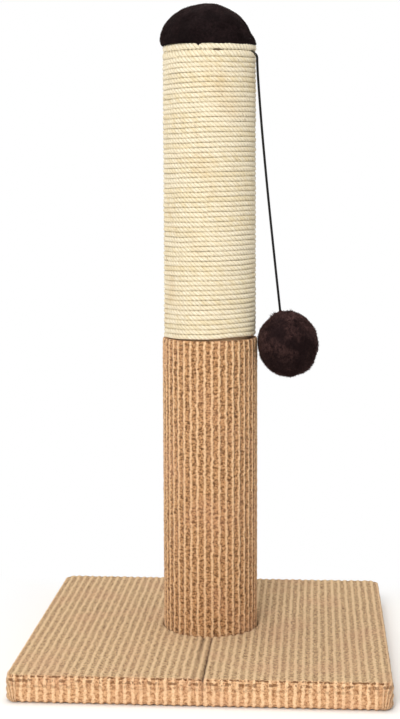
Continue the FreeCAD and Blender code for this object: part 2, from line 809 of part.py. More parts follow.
def build_cord():
    """Three pieces: fixed tail, bend at the post, and the drop, which has a round knuckle at each end."""
    diameter = value("sizes.cord_diameter")
    radius = diameter / 2
    points = cord_points()
    arcs = route_arcs(points)
    for point, arc in zip(points[1:], arcs):
        print(f"cord: arc radius {arc.Curve.Radius:.1f} mm at height {point.z:.1f} mm")
    bend = arcs[0]
    outward = (start_of(bend) - points[0]).normalize()
    tail_end = start_of(bend) - outward * value("sizes.knuckle_gap")
    drop_way = (start_of(arcs[1]) - end_of(bend)).normalize()
    drop_start = end_of(bend) + drop_way * knuckle_reach()
    tail_edges = [Part.LineSegment(points[0], tail_end).toShape()]
    drop_edges = []
    here = drop_start
    for arc in arcs[1:]:
        drop_edges += [Part.LineSegment(here, start_of(arc)).toShape(), arc]
        here = end_of(arc)
    drop_edges.append(Part.LineSegment(here, points[-1]).toShape())
    for label, edges in (("cord_tail", tail_edges), ("cord_bend", [bend]), ("cord_drop", drop_edges)):
        solid = tube_along(edges, radius)
        report_tube(label, solid, edges, diameter)
        if label == "cord_drop":
            last_way = (points[-1] - here).normalize()
            upper = Part.makeSphere(radius, drop_start, -drop_way, 0, 90, 360)
            lower = Part.makeSphere(radius, points[-1], last_way, 0, 90, 360)
            solid = solid.fuse([upper, lower]).removeSplitter()
        feature_of(label, solid)
    print(f"cord: side-swing axis from {tuple(start_of(bend))} along {tuple(outward)}")
    print(f"cord: out-swing axis at {tuple(drop_start)}, drop along {tuple(drop_way)}")
    print(f"cord: ball knuckle at {tuple(points[-1])}, ball centre {tuple(ball_centre())}")
    print(f"cord: whole route {route_length(points, arcs):.1f} mm")
    build_tail_knot(points[0], outward)


def route_length(points, arcs):
    starts = [points[0]] + [end_of(arc) for arc in arcs]
    ends = [start_of(arc) for arc in arcs] + [points[-1]]
    straight = sum((end - start).Length for start, end in zip(starts, ends))
    return straight + sum(arc.Length for arc in arcs)


def build_tail_knot(cord_start, outward):
    """A round knot inside the tube, flat where the cord leaves it."""
    radius = value("sizes.knot_diameter") / 2
    inset = 0.7 * radius
    ball = Part.makeSphere(radius, cord_start - outward * inset)
    turn = Rotation(Vector(0, 0, 1), outward)
    beyond = Part.makeCylinder(2 * radius, 2 * radius)
    beyond.Placement = Placement(cord_start, turn)
    feature_of("cord_knot", ball.cut(beyond))


def ellipsoid(name, inset):
    return primitive(
        "Part::Ellipsoid",
        name,
        Radius1=f"sizes.ball_along / 2 - ({inset})",
        Radius2=f"sizes.ball_across / 2 - ({inset})",
        Radius3=f"sizes.ball_across / 2 - ({inset})",
    )


def stub(name, gap):
    """The cord inside the ball, from its middle up to the pole."""
    return primitive(
        "Part::Cylinder",
        name,
        Radius=f"sizes.cord_diameter / 2 + {gap}",
        Height="sizes.ball_along / 2 + 1",
    )


def knot(name, gap):
    return primitive("Part::Sphere", name, Radius=f"sizes.knot_diameter / 2 + {gap}")


def build_ball():
    """Skin, filling and the knotted end of the cord, each leant the same way about the ball's middle."""
    skin = cut_all(
        "ball_plush",
        ellipsoid("ball_outside", "0"),
        [ellipsoid("ball_hollow", "sizes.ball_skin"), stub("skin_hole", "sizes.knuckle_gap")],
    )
    filling = cut_all(
        "ball_filling",
        ellipsoid("filling_outside", "sizes.ball_skin + sizes.knuckle_gap"),
        [stub("filling_hole", "sizes.knuckle_gap"), knot("filling_knot_hole", "sizes.knuckle_gap")],
    )
    cord_and_knot = [stub("ball_cord", "0"), knot("ball_knot_round", "0")]
    knotted_end = combine("Part::Fuse", "ball_knot_long", *cord_and_knot)
    within = primitive(
        "Part::Box",
        "ball_knot_limit",
        Length="sizes.ball_across",
        Width="sizes.ball_across",
        Height="sizes.ball_along",
    )
    for axis in "xy":
        within.setExpression(f"Placement.Base.{axis}", "-sizes.ball_across / 2")
    within.setExpression("Placement.Base.z", "-sizes.ball_along / 2")
    end = combine("Part::Common", "ball_knot", knotted_end, within)
    for piece in (skin, filling, end):
        piece.Placement = Placement(ball_centre(), ball_turn())
    doc.recompute()


def build_all():
    fill_sheet()
    hem_staples = build_hem_staples()
    build_base_board(hem_staples)
    build_base_cover(hem_staples)
    build_bolt()
    t_nut = build_t_nut()
    foot_staples = level_staples(
        "foot_plug_staples",
        "sizes.staple_leg",
        f"{TUBE_RADIUS} - sizes.flush_depth",
        f"{BOARD_TOP} + sizes.foot_plug_thickness / 2",
        PLUG_STAPLES,
    )
    rim_staples = level_staples(
        "cap_rim_staples",
        "sizes.staple_leg",
        f"{CAP_RADIUS} - sizes.plush_thickness",
        RIM_STAPLE_HEIGHT,
        RIM_STAPLES,
    )
    seam_staples = build_seam_staples()
    build_foot_plug(t_nut, foot_staples)
    top_plug = disc(
        "top_plug_blank",
        PLUG_RADIUS,
        "sizes.top_plug_thickness",
        f"{TUBE_TOP} - sizes.top_plug_thickness",
    )
    cut_all("top_plug", top_plug, [rim_staples])
    build_post_tube([foot_staples, rim_staples, seam_staples])
    build_post_sleeve(seam_staples)
    build_wound_rope()
    build_lower_rope()
    build_cap(rim_staples)
    build_cord()
    build_ball()
    doc.recompute()


def export_nodes():
    """Checks every object of the document and each sub-part's shape, then writes the sub-parts."""
    for item in doc.Objects:
        if "Invalid" in item.State or "Error" in item.State:
            raise ValueError(f"{item.Label} failed: {item.State}")
    shapes = {}
    for node in NODES:
        shape = doc.getObjectsByLabel(node)[0].Shape
        if shape.isNull() or not shape.isValid():
            raise ValueError(f"{node} has no valid shape")
        shapes[node] = shape
    os.makedirs("parts", exist_ok=True)
    for node, shape in shapes.items():
        shape.exportStep(f"parts/{node}.step")
        box = shape.BoundBox
        print(f"{node}: {len(shape.Solids)} solids, {shape.Volume:.0f} mm3")
        print(f"{node}: z {box.ZMin:.2f} to {box.ZMax:.2f}")


build_all()
export_nodes()
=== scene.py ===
import math
import random

import bmesh
import bpy
from mathutils import Matrix, Vector, noise
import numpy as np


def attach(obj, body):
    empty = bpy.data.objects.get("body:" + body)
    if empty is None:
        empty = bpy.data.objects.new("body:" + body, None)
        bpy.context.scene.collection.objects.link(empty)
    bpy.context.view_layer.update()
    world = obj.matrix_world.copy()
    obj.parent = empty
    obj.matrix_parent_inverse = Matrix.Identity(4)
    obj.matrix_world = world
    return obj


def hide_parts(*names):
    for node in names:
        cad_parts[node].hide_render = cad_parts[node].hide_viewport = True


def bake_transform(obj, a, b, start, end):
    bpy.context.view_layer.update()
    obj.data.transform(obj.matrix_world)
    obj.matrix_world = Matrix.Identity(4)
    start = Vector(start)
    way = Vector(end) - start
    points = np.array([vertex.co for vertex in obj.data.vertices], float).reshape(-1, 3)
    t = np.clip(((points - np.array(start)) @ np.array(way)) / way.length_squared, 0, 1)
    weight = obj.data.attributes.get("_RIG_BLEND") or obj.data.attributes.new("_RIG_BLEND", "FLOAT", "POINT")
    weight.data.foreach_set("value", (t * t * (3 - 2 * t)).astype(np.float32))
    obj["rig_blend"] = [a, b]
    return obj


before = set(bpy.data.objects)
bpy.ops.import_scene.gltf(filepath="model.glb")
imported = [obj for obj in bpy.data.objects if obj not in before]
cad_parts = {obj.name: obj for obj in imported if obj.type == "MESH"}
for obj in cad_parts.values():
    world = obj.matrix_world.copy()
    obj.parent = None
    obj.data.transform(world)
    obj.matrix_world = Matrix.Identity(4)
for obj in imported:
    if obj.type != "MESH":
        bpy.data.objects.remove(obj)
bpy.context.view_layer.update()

# A cat scratching post. Meshes are worked in millimetres and scaled to metres when a piece is finished.
# +Z is up, -Y is the front, and the post stands on the origin.

MM = 0.001

# The photo's camera: degrees turned left, down and clockwise.
CAMERA_PLACE = (0.08825, -1.26591, 0.40277)
CAMERA_LENS = 75.92
CAMERA_LEFT = 4.369
CAMERA_DOWN = 6.831
CAMERA_ROLL = -0.18

# Base: a ribbed carpet wrapped over a board.
BASE_HEIGHT = 23.4
FLAT_HALF = 145.5
FOLD_RADIUS = 4.5
CORNER_RADIUS = 5.0
CORNER_CENTRE = FLAT_HALF - CORNER_RADIUS
QUARTER_FOLD = FOLD_RADIUS * math.pi / 2
FACE_HEIGHT = BASE_HEIGHT - 2 * FOLD_RADIUS
WRAP_DEPTH = 2 * QUARTER_FOLD + FACE_HEIGHT
HEM_DEPTH = 33.5
POST_HOLE_RADIUS = 40.75
CARPET_THICKNESS = 5.2
COVER_HALF = FLAT_HALF + WRAP_DEPTH
BASE_COLUMNS = 337
BASE_ROWS = 211
RIB = 6 * 2 * COVER_HALF / BASE_COLUMNS
SLIT_PLACE = 3.9

# Pile of the two carpets: noise seed, depth of a valley, width of a crest.
BASE_PILE = (1.0, 0.9, 0.25)
SLEEVE_PILE = (20.0, 1.15, 0.2)

# Sleeve: the same carpet round the post.
SLEEVE_RADIUS = 40.3
SLEEVE_FOOT = 18.1
SLEEVE_TOP = 270.0
SLEEVE_RIBS = 41
SLEEVE_ROWS = 187
SLEEVE_SHIFT = 1.9
SEAM_HALF_ANGLE = 0.45

# Sisal rope.
ROPE_RADIUS = 2.0
ROPE_PATH_RADIUS = 36.62
ROPE_PITCH = 3.994
ROPE_TURNS = 58.695
ROPE_END_AZIMUTH = 70.0
ROPE_END_HEIGHT = 506.811
SECTION_POINTS = 18
RINGS_PER_TURN = 140
STRAND_LAY = 10.6
CORD_AZIMUTH = -12
SLIT_AZIMUTH = -76
# Height of the rope's line by the turns left to its end. The second turn waits for the top one at the front.
TOP_TURNS = (
    (0.0, 508.3), (0.128, 508.5), (0.428, 508.0), (0.688, 508.2), (0.948, 504.6), (1.128, 502.3),
    (1.228, 501.9), (1.458, 501.9), (1.688, 501.0), (1.928, 499.2), (2.128, 498.3), (2.628, 496.315),
)
HAIRS = 230
WISP_HAIRS = 9
HAIR_RADIUS = 0.085

# Plush cap and ball.
CAP_RADIUS = 38.6
CAP_RISE = 28.9
CAP_SIZE = (CAP_RADIUS, CAP_RADIUS, CAP_RISE)
CAP_RIM = (
    (38.7, 514.7), (38.7, 513.9), (38.7, 513.1), (38.6, 512.3), (38.5, 511.5), (38.35, 510.8), (38.1, 510.2),
)
CAP_MIDDLE = 515.5
CAP_FOOT = 510.9
TUBE_TOP = 517.7
BALL_CENTRE = Vector((65.664, -5.745, 265.2))
BALL_POLE = Vector((-0.2342, 0.0205, 0.9720)).normalized()
BALL_SIZE = (25.2, 25.2, 27.2)
LINING_SIZE = (22.9, 22.9, 24.9)
FILLING_SIZE = (22.4, 22.4, 24.4)
FOAM_SIZE = (35.3, 35.3, 22.9)

# The toy's cord, by the route of its solid.
CORD_RADIUS = 1.0
CORD_SIDES = 12
CORD_ROUTE = (
    (30.03, -6.38, 505.1),
    (39.71, -8.44, 505.1),
    (39.8, -8.3, 493.6),
    (41.2, -7.95, 473.0),
    (44.3, -7.35, 434.0),
    (51.3, -6.25, 362.5),
    (59.035, -5.165, 292.706),
)


def hump(off, width):
    """1 at the middle, and falling away on both sides."""
    return math.exp(-((off / width) ** 2))


def clamped(share):
    return max(0.0, min(1.0, share))


def level_way(angle):
    return Vector((math.cos(angle), math.sin(angle), 0))


def rough(*place):
    return noise.noise(Vector(place))


def any_way(draw):
    return Vector([draw.uniform(-1, 1) for _ in range(3)])


def sized(place, size):
    return Vector([part * whole for part, whole in zip(place, size)])


def add_object(name, data):
    made = bpy.data.objects.new(name, data)
    bpy.context.scene.collection.objects.link(made)
    return made


# Camera and light


def add_camera():
    data = bpy.data.cameras.new("photo_camera")
    data.lens = CAMERA_LENS
    data.clip_end = 30
    camera = add_object("photo_camera", data)
    camera.matrix_world = (
        Matrix.Translation(CAMERA_PLACE)
        @ Matrix.Rotation(math.radians(CAMERA_LEFT), 4, "Z")
        @ Matrix.Rotation(math.radians(90 - CAMERA_DOWN), 4, "X")
        @ Matrix.Rotation(math.radians(CAMERA_ROLL), 4, "Z")
    )
    bpy.context.scene.camera = camera


def add_lamp(name, place, target, size, energy, colour):
    data = bpy.data.lights.new(name, "AREA")
    data.shape = "DISK"
    data.size = size
    data.energy = energy
    data.color = colour
    turn = (Vector(target) - Vector(place)).to_track_quat("-Z", "Y").to_matrix().to_4x4()
    add_object(name, data).matrix_world = Matrix.Translation(place) @ turn


# Materials


def srgb(red, green, blue):
    """A colour given from 0 to 255, as linear light."""
    parts = [c / 255 for c in (red, green, blue)]
    linear = [c / 12.92 if c <= 0.04045 else ((c + 0.055) / 1.055) ** 2.4 for c in parts]
    return (*linear, 1.0)


def feed(tree, node, sockets):
    """Gives sockets a plain value or another node's output."""
    for key, given in sockets.items():
        if isinstance(given, bpy.types.NodeSocket):
            tree.links.new(given, node.inputs[key])
        else:
            node.inputs[key].default_value = given


def put(tree, kind, sockets=None, **settings):
    """Adds a shader node with its settings and sockets."""
    made = tree.nodes.new("ShaderNode" + kind)
    for key, setting in settings.items():
        setattr(made, key, setting)
    feed(tree, made, sockets or {})
    return made


def calc(tree, operation, first, second=0.0):
    return put(tree, "Math", {0: first, 1: second}, operation=operation).outputs[0]


def times(tree, first, second):
    return calc(tree, "MULTIPLY", first, second)


def minus(tree, first, second):
    return calc(tree, "SUBTRACT", first, second)


def apart(tree, given, middle=0.5):
    """How far a value is from a middle one."""
    return calc(tree, "ABSOLUTE", minus(tree, given, middle))


def remap(tree, given, low, high, to_low=0.0, to_high=1.0):
    sockets = {"Value": given, "From Min": low, "From Max": high, "To Min": to_low, "To Max": to_high}
    return put(tree, "MapRange", sockets, interpolation_type="SMOOTHSTEP").outputs["Result"]


def tint(tree, share, first, second):
    """Mixes two colours, each a node's output or given from 0 to 255."""
    first, second = (srgb(*colour) if isinstance(colour, tuple) else colour for colour in (first, second))
    return put(tree, "Mix", {"Factor": share, 6: first, 7: second}, data_type="RGBA").outputs[2]


def grain(tree, vector, scale, detail=2.0, roughness=0.5):
    sockets = {"Vector": vector, "Scale": scale, "Detail": detail, "Roughness": roughness}
    return put(tree, "TexNoise", sockets).outputs["Fac"]


def stretched(tree, vector, scale, turn=(0.0, 0.0, 0.0)):
    sockets = {"Vector": vector, "Scale": scale, "Rotation": turn}
    return put(tree, "Mapping", sockets).outputs["Vector"]


def object_place(tree):
    return put(tree, "TexCoord").outputs["Object"]


def attribute(tree, name):
    return put(tree, "Attribute", attribute_name=name).outputs["Fac"]


def new_group(name, inputs, outputs):
    """A shader node group with named sockets. An input is (name, type, starting value)."""
    tree = bpy.data.node_groups.new(name, "ShaderNodeTree")
    for label, kind, start in inputs:
        socket = tree.interface.new_socket(name=label, in_out="INPUT", socket_type="NodeSocket" + kind)
        if start is not None:
            socket.default_value = start
    for label, kind in outputs:
        tree.interface.new_socket(name=label, in_out="OUTPUT", socket_type="NodeSocket" + kind)
    return tree, tree.nodes.new("NodeGroupInput").outputs, tree.nodes.new("NodeGroupOutput")


def use_group(tree, group, sockets):
    return put(tree, "Group", sockets, node_tree=group).outputs


def separated(tree, place):
    return put(tree, "SeparateXYZ", {"Vector": place}).outputs


def uv_place(tree, name):
    return put(tree, "UVMap", uv_map=name).outputs["UV"]


def new_material(name):
    """A material with one Principled shader, and its node tree."""
    material = bpy.data.materials.new(name)
    material.use_nodes = True
    tree = material.node_tree
    return material, tree, tree.nodes["Principled BSDF"]


def finish_shader(tree, shader, colour, roughness, height, distance, strength=1.0, **more):
    """Joins colour, roughness, bump and more to a shader. Distance is in metres."""
    bump = put(tree, "Bump", {"Height": height, "Distance": distance, "Strength": strength})
    feed(tree, shader, {"Base Color": colour, "Roughness": roughness, "Normal": bump.outputs["Normal"]})
    feed(tree, shader, {name.replace("_", " "): given for name, given in more.items()})


def fibre_group():
    """Fine streaks along a strand: a mask of light and dark fibres, and their height."""
    tree, given, result = new_group(
        "strand_fibres",
        [("Place", "Vector", None), ("Length", "Float", 0.2), ("Width", "Float", 6.0)],
        [("Streaks", "Float"), ("Height", "Float")],
    )
    size = put(tree, "CombineXYZ", {"X": given["Length"], "Y": given["Width"], "Z": given["Width"]})
    sockets = {0: given["Place"], 1: size.outputs[0]}
    place = put(tree, "VectorMath", sockets, operation="MULTIPLY").outputs[0]
    broad = grain(tree, place, 1.0, 3.0, 0.6)
    fine = grain(tree, place, 3.3, 2.0, 0.6)
    mixed = calc(tree, "ADD", times(tree, broad, 0.6), times(tree, fine, 0.4))
    feed(tree, result, {"Streaks": remap(tree, mixed, 0.3, 0.7), "Height": mixed})
    return tree


def metal_group():
    """Zinc plating: faint crystals and dull marks."""
    tree, given, result = new_group(
        "zinc_plating",
        [("Place", "Vector", None), ("Bright", "Color", None), ("Dull", "Color", None)],
        [("Color", "Color"), ("Roughness", "Float"), ("Height", "Float")],
    )
    crystals = put(tree, "TexVoronoi", {"Vector": given["Place"], "Scale": 900.0})
    marks = grain(tree, given["Place"], 260.0, 4.0, 0.65)
    mixed = calc(tree, "ADD", marks, times(tree, crystals.outputs["Distance"], 0.25))
    colour = tint(tree, remap(tree, mixed, 0.35, 0.8), given["Bright"], given["Dull"])
    dullness = remap(tree, marks, 0.3, 0.7, 0.28, 0.5)
    feed(tree, result, {"Color": colour, "Roughness": dullness, "Height": marks})
    return tree


def wood_group():
    """Long wood grain with pores."""
    light, dark = srgb(214, 186, 144), srgb(160, 122, 80)
    tree, given, result = new_group(
        "wood_grain",
        [("Place", "Vector", None), ("Light", "Color", light), ("Dark", "Color", dark)],
        [("Color", "Color"), ("Height", "Float")],
    )
    rings = grain(tree, stretched(tree, given["Place"], (90.0, 9.0, 90.0)), 1.0, 3.0, 0.55)
    pores = grain(tree, stretched(tree, given["Place"], (900.0, 60.0, 900.0)), 1.0, 2.0, 0.6)
    share = calc(tree, "ADD", times(tree, rings, 0.7), times(tree, pores, 0.4))
    colour = tint(tree, remap(tree, share, 0.4, 0.72), given["Light"], given["Dark"])
    feed(tree, result, {"Color": colour, "Height": share})
    return tree


def carpet_material():
    """Ribbed loop pile. The UV map holds flat millimetres, and attributes say where crests and gaps are. Painted
    shade darkens the valleys, the specks and rungs between the loops, the fold's gaps and the open slit; the
    sleeve takes a darker copy of the colours as painted shade, and the front face a lighter copy as painted
    light.
    """
    material, tree, shader = new_material("ribbed_carpet")
    weave = uv_place(tree, "weave")
    names = ("crest", "opened", "shaded_sleeve", "lit_front_face")
    rib_crest, opened, shaded_sleeve, lit_front_face = (attribute(tree, name) for name in names)
    rough_edge = grain(tree, weave, 0.45, 3.0, 0.65)
    yarn = grain(tree, stretched(tree, weave, (1.4, 0.9, 1.0)), 1.0, 3.0, 0.65)
    loops = grain(tree, stretched(tree, weave, (0.44, 0.5, 1.0)), 1.0, 3.0, 0.72)
    rungs = grain(tree, stretched(tree, weave, (0.16, 0.42, 1.0)), 1.0, 3.0, 0.7)
    beads = grain(tree, stretched(tree, weave, (0.2, 0.6, 1.0)), 1.0, 2.0, 0.6)
    drift = grain(tree, weave, 0.022, 2.0)
    ragged = times(tree, minus(tree, rough_edge, 0.5), 1.3)
    crest_share = remap(tree, calc(tree, "ADD", rib_crest, ragged), 0.28, 0.8)
    # Colours for the base's top, the sleeve and the front face: the sleeve's darker copy is painted shade, and
    # the front face's lighter copy is painted light. Valleys are darker than crests, partly the yarn's own tone
    # and partly painted shade.
    valley, crest, dark = (
        tint(tree, lit_front_face, tint(tree, shaded_sleeve, base, sleeve), face)
        for base, sleeve, face in (
            ((205, 171, 129), (196, 148, 102), (217, 170, 126)),
            ((232, 200, 156), (240, 200, 156), (248, 208, 164)),
            ((120, 84, 48), (92, 56, 28), (152, 102, 62)),
        )
    )
    pile = tint(tree, crest_share, valley, crest)
    # Dark specks and rungs in the valleys are painted shade between the loops, stronger on the sleeve.
    in_valley = minus(tree, 1.0, times(tree, crest_share, 0.85))
    speck = times(tree, remap(tree, loops, 0.49, 0.60), in_valley)
    pile = tint(tree, times(tree, speck, remap(tree, shaded_sleeve, 0.0, 1.0, 0.85, 0.9)), pile, dark)
    ladder = times(tree, remap(tree, rungs, 0.50, 0.60), in_valley)
    pile = tint(tree, times(tree, ladder, remap(tree, shaded_sleeve, 0.0, 1.0, 0.5, 0.65)), pile, dark)
    pale = times(tree, remap(tree, loops, 0.44, 0.34), 0.5)
    pile = tint(tree, pale, pile, crest)
    # Notches on the crests take the valley colour, and with it its painted shade.
    notch = times(tree, remap(tree, beads, 0.5, 0.64), crest_share)
    pile = tint(tree, times(tree, notch, 0.5), pile, valley)
    pile = tint(tree, remap(tree, yarn, 0.5, 0.72, 0.0, 0.4), pile, dark)
    pile = tint(tree, remap(tree, drift, 0.45, 0.7, 0.0, 0.22), pile, (206, 152, 120))
    # Painted shade in the gaps over the front fold.
    pile = tint(tree, times(tree, fold_gap_shade(tree, weave), 0.9), pile, (102, 60, 26))
    # The open slit beside the loose rib is painted dark as painted shade.
    slit_shade = times(tree, opened, remap(tree, loops, 0.3, 0.55, 0.4, 1.0))
    pile = tint(tree, slit_shade, pile, (66, 42, 22))
    height = minus(tree, times(tree, rough_edge, 0.8), loops)
    finish_shader(
        tree, shader, pile, remap(tree, yarn, 0.2, 0.8, 0.95, 0.8), height, 0.0012, 0.9,
        Specular_IOR_Level=0.15, Sheen_Weight=0.08, Sheen_Roughness=0.6,
    )
    return material


def fold_gap_shade(tree, weave):
    """Painted shade in rows of short gaps where the loops part over the front fold."""
    wander = times(tree, minus(tree, grain(tree, weave, 0.3, 3.0, 0.7), 0.5), 4.0)
    depth = calc(tree, "ADD", attribute(tree, "fold_depth"), wander)
    broken = grain(tree, stretched(tree, weave, (0.3, 0.16, 1.0)), 1.0, 2.0, 0.6)
    rows = 0.0
    for middle, weight in ((2.7, 1.0), (7.0, 0.8), (11.2, 0.4)):
        row = times(tree, remap(tree, apart(tree, depth, middle), 1.9, 0.9), weight)
        rows = calc(tree, "MAXIMUM", rows, row)
    there = remap(tree, attribute(tree, "lit_front_face"), 0.5, 0.9)
    return times(tree, times(tree, rows, there), remap(tree, broken, 0.45, 0.56))


def backing_material():
    """Woven jute backing on the carpet's inner side."""
    material, tree, shader = new_material("carpet_backing")
    place = stretched(tree, object_place(tree), (1000.0, 1000.0, 1000.0))
    sockets = {"Vector": place, "Scale": 0.35, "Distortion": 1.5, "Detail": 2.0}
    threads = [put(tree, "TexWave", sockets, bands_direction=way).outputs["Fac"] for way in "XZ"]
    weave = calc(tree, "MAXIMUM", *threads)
    # The gaps between the threads are painted darker, as painted shade.
    colour = tint(tree, weave, (132, 100, 66), (196, 164, 120))
    finish_shader(tree, shader, colour, 0.92, weave, 0.0005)
    return material


def sisal_material(name, fibres, light, dark):
    """Sisal fibres. The UV map holds millimetres along the rope and the strand number across it."""
    material, tree, shader = new_material(name)
    place = uv_place(tree, "strand")
    parts = separated(tree, place)
    across = apart(tree, calc(tree, "FRACT", parts["Y"]))
    groove = remap(tree, across, 0.36, 0.5)
    strands = use_group(tree, fibres, {"Place": place, "Length": 0.28, "Width": 7.0})
    lot = grain(tree, stretched(tree, place, (0.011, 0.3, 1.0)), 1.0, 2.0)
    bits = grain(tree, stretched(tree, place, (0.22, 2.3, 1.0)), 1.0, 3.0, 0.7)
    patch = grain(tree, object_place(tree), 26.0, 3.0, 0.6)
    colour = tint(tree, strands["Streaks"], light, dark)
    colour = tint(tree, remap(tree, lot, 0.4, 0.7, 0.0, 0.5), colour, (222, 202, 152))
    colour = tint(tree, remap(tree, patch, 0.48, 0.7, 0.0, 0.32), colour, (216, 188, 140))
    # Painted shade in the grooves between the strands.
    colour = tint(tree, times(tree, groove, 0.6), colour, (192, 168, 122))
    colour = tint(tree, remap(tree, bits, 0.63, 0.70, 0.0, 0.75), colour, (140, 106, 58))
    height = minus(tree, strands["Height"], times(tree, groove, 0.5))
    finish_shader(
        tree, shader, colour, remap(tree, strands["Streaks"], 0.0, 1.0, 0.55, 0.8), height, 0.0004, 0.9,
        Specular_IOR_Level=0.3, Sheen_Weight=0.1,
    )
    return material


def plush_material(name, root, base, bright, sheen):
    """Short dark brown plush, lighter at the tips of its pile, with lighter patches of painted sheen where the
    nap turns.
    """
    material, tree, shader = new_material(name)
    place = object_place(tree)
    tip = attribute(tree, "tip")
    lay = grain(tree, place, 70.0, 3.0, 0.55)
    tufts = grain(tree, place, 420.0, 3.0, 0.65)
    # Lighter patches are the painted sheen of the nap, taken towards the bright colour.
    sheen_patches = tint(tree, remap(tree, lay, 0.42, 0.64), base, bright)
    strands = tint(tree, remap(tree, tufts, 0.3, 0.6), base, sheen_patches)
    share = times(tree, tip, remap(tree, tufts, 0.3, 0.65, 0.45, 1.0))
    colour = tint(tree, share, root, strands)
    finish_shader(
        tree, shader, colour, remap(tree, tufts, 0.2, 0.8, 0.95, 0.75), tufts, 0.0008, 0.7,
        Specular_IOR_Level=0.12, Sheen_Weight=sheen, Sheen_Roughness=0.4, Sheen_Tint=srgb(200, 150, 140),
    )
    return material


def cord_material(name, fibres, uv):
    """Black twisted cord."""
    material, tree, shader = new_material(name)
    if uv:
        place = uv_place(tree, "twist")
    else:
        place = stretched(tree, object_place(tree), (1000.0, 1000.0, 1000.0), (0.3, 0.5, 0.0))
    parts = separated(tree, place)
    twist = calc(tree, "ADD", times(tree, parts["X"], 0.42), parts["Y"])
    ply = apart(tree, calc(tree, "FRACT", times(tree, twist, 2.0)))
    strands = use_group(tree, fibres, {"Place": place, "Length": 1.2, "Width": 9.0})
    colour = tint(tree, strands["Streaks"], (8, 7, 8), (24, 21, 22))
    # Painted shade in the grooves between the plies.
    colour = tint(tree, remap(tree, ply, 0.38, 0.5), colour, (3, 3, 3))
    height = minus(tree, times(tree, strands["Height"], 0.4), ply)
    finish_shader(
        tree, shader, colour, remap(tree, strands["Streaks"], 0.0, 1.0, 0.6, 0.8), height, 0.0003, 0.8,
        Specular_IOR_Level=0.2,
    )
    return material


def metal_material(name, zinc, bright, dull):
    material, tree, shader = new_material(name)
    colours = {"Bright": srgb(*bright), "Dull": srgb(*dull)}
    zinc_look = use_group(tree, zinc, {"Place": object_place(tree), **colours})
    colour, roughness, height = (zinc_look[name] for name in ("Color", "Roughness", "Height"))
    finish_shader(tree, shader, colour, roughness, height, 0.00005, 0.4, Metallic=1.0)
    return material


def board_material():
    """Particle board: pressed flakes."""
    material, tree, shader = new_material("particle_board")
    place = stretched(tree, object_place(tree), (420.0, 210.0, 900.0), (0.0, 0.0, 0.5))
    flakes = put(tree, "TexVoronoi", {"Vector": place, "Scale": 1.0, "Randomness": 1.0})
    dust = grain(tree, place, 3.0, 3.0, 0.7)
    flake_tone = put(tree, "SeparateColor", {"Color": flakes.outputs["Color"]}).outputs["Red"]
    colour = tint(tree, flake_tone, (178, 142, 98), (222, 192, 148))
    colour = tint(tree, remap(tree, dust, 0.55, 0.75, 0.0, 0.6), colour, (126, 92, 56))
    height = minus(tree, dust, flakes.outputs["Distance"])
    finish_shader(tree, shader, colour, remap(tree, dust, 0.3, 0.7, 0.7, 0.9), height, 0.0003, 0.6)
    return material


def wood_material(wood):
    material, tree, shader = new_material("plug_wood")
    cut = use_group(tree, wood, {"Place": object_place(tree)})
    finish_shader(tree, shader, cut["Color"], 0.72, cut["Height"], 0.0003, 0.5)
    return material


def tube_material():
    """Grey-brown cardboard with the spiral edge of its wound ply."""
    material, tree, shader = new_material("cardboard_tube")
    place = object_place(tree)
    parts = separated(tree, place)
    turn = calc(tree, "DIVIDE", calc(tree, "ARCTAN2", parts["Y"], parts["X"]), 2 * math.pi)
    climb = calc(tree, "FRACT", calc(tree, "ADD", times(tree, parts["Z"], 9.0), turn))
    ply_edge = remap(tree, apart(tree, climb), 0.485, 0.5)
    pulp = grain(tree, stretched(tree, place, (500.0, 500.0, 160.0)), 1.0, 4.0, 0.7)
    colour = tint(tree, remap(tree, pulp, 0.3, 0.7), (158, 130, 98), (188, 162, 128))
    colour = tint(tree, times(tree, ply_edge, 0.6), colour, (104, 82, 58))
    finish_shader(tree, shader, colour, 0.85, minus(tree, pulp, ply_edge), 0.0002, 0.6)
    return material


def foam_material():
    """Cream polyurethane foam with open cells."""
    material, tree, shader = new_material("cut_foam")
    cells = put(tree, "TexVoronoi", {"Vector": object_place(tree), "Scale": 950.0})
    tone = grain(tree, object_place(tree), 120.0, 3.0)
    # The cells' middles are painted darker, as painted shade in the open pores.
    colour = tint(tree, remap(tree, cells.outputs["Distance"], 0.1, 0.7), (196, 178, 132), (240, 228, 190))
    colour = tint(tree, remap(tree, tone, 0.4, 0.7, 0.0, 0.3), colour, (214, 196, 150))
    finish_shader(tree, shader, colour, 0.9, cells.outputs["Distance"], 0.0006, 0.8)
    return material


def filling_material():
    """White polyester fibre."""
    material, tree, shader = new_material("fibre_filling")
    place = object_place(tree)
    clumps = grain(tree, place, 130.0, 4.0, 0.7)
    hairs = grain(tree, stretched(tree, place, (1400.0, 260.0, 500.0), (0.4, 0.2, 0.7)), 1.0, 3.0, 0.7)
    colour = tint(tree, remap(tree, clumps, 0.35, 0.7), (214, 213, 208), (246, 246, 243))
    finish_shader(tree, shader, colour, remap(tree, hairs, 0.3, 0.7, 0.8, 0.95), hairs, 0.0008, 0.8)
    return material


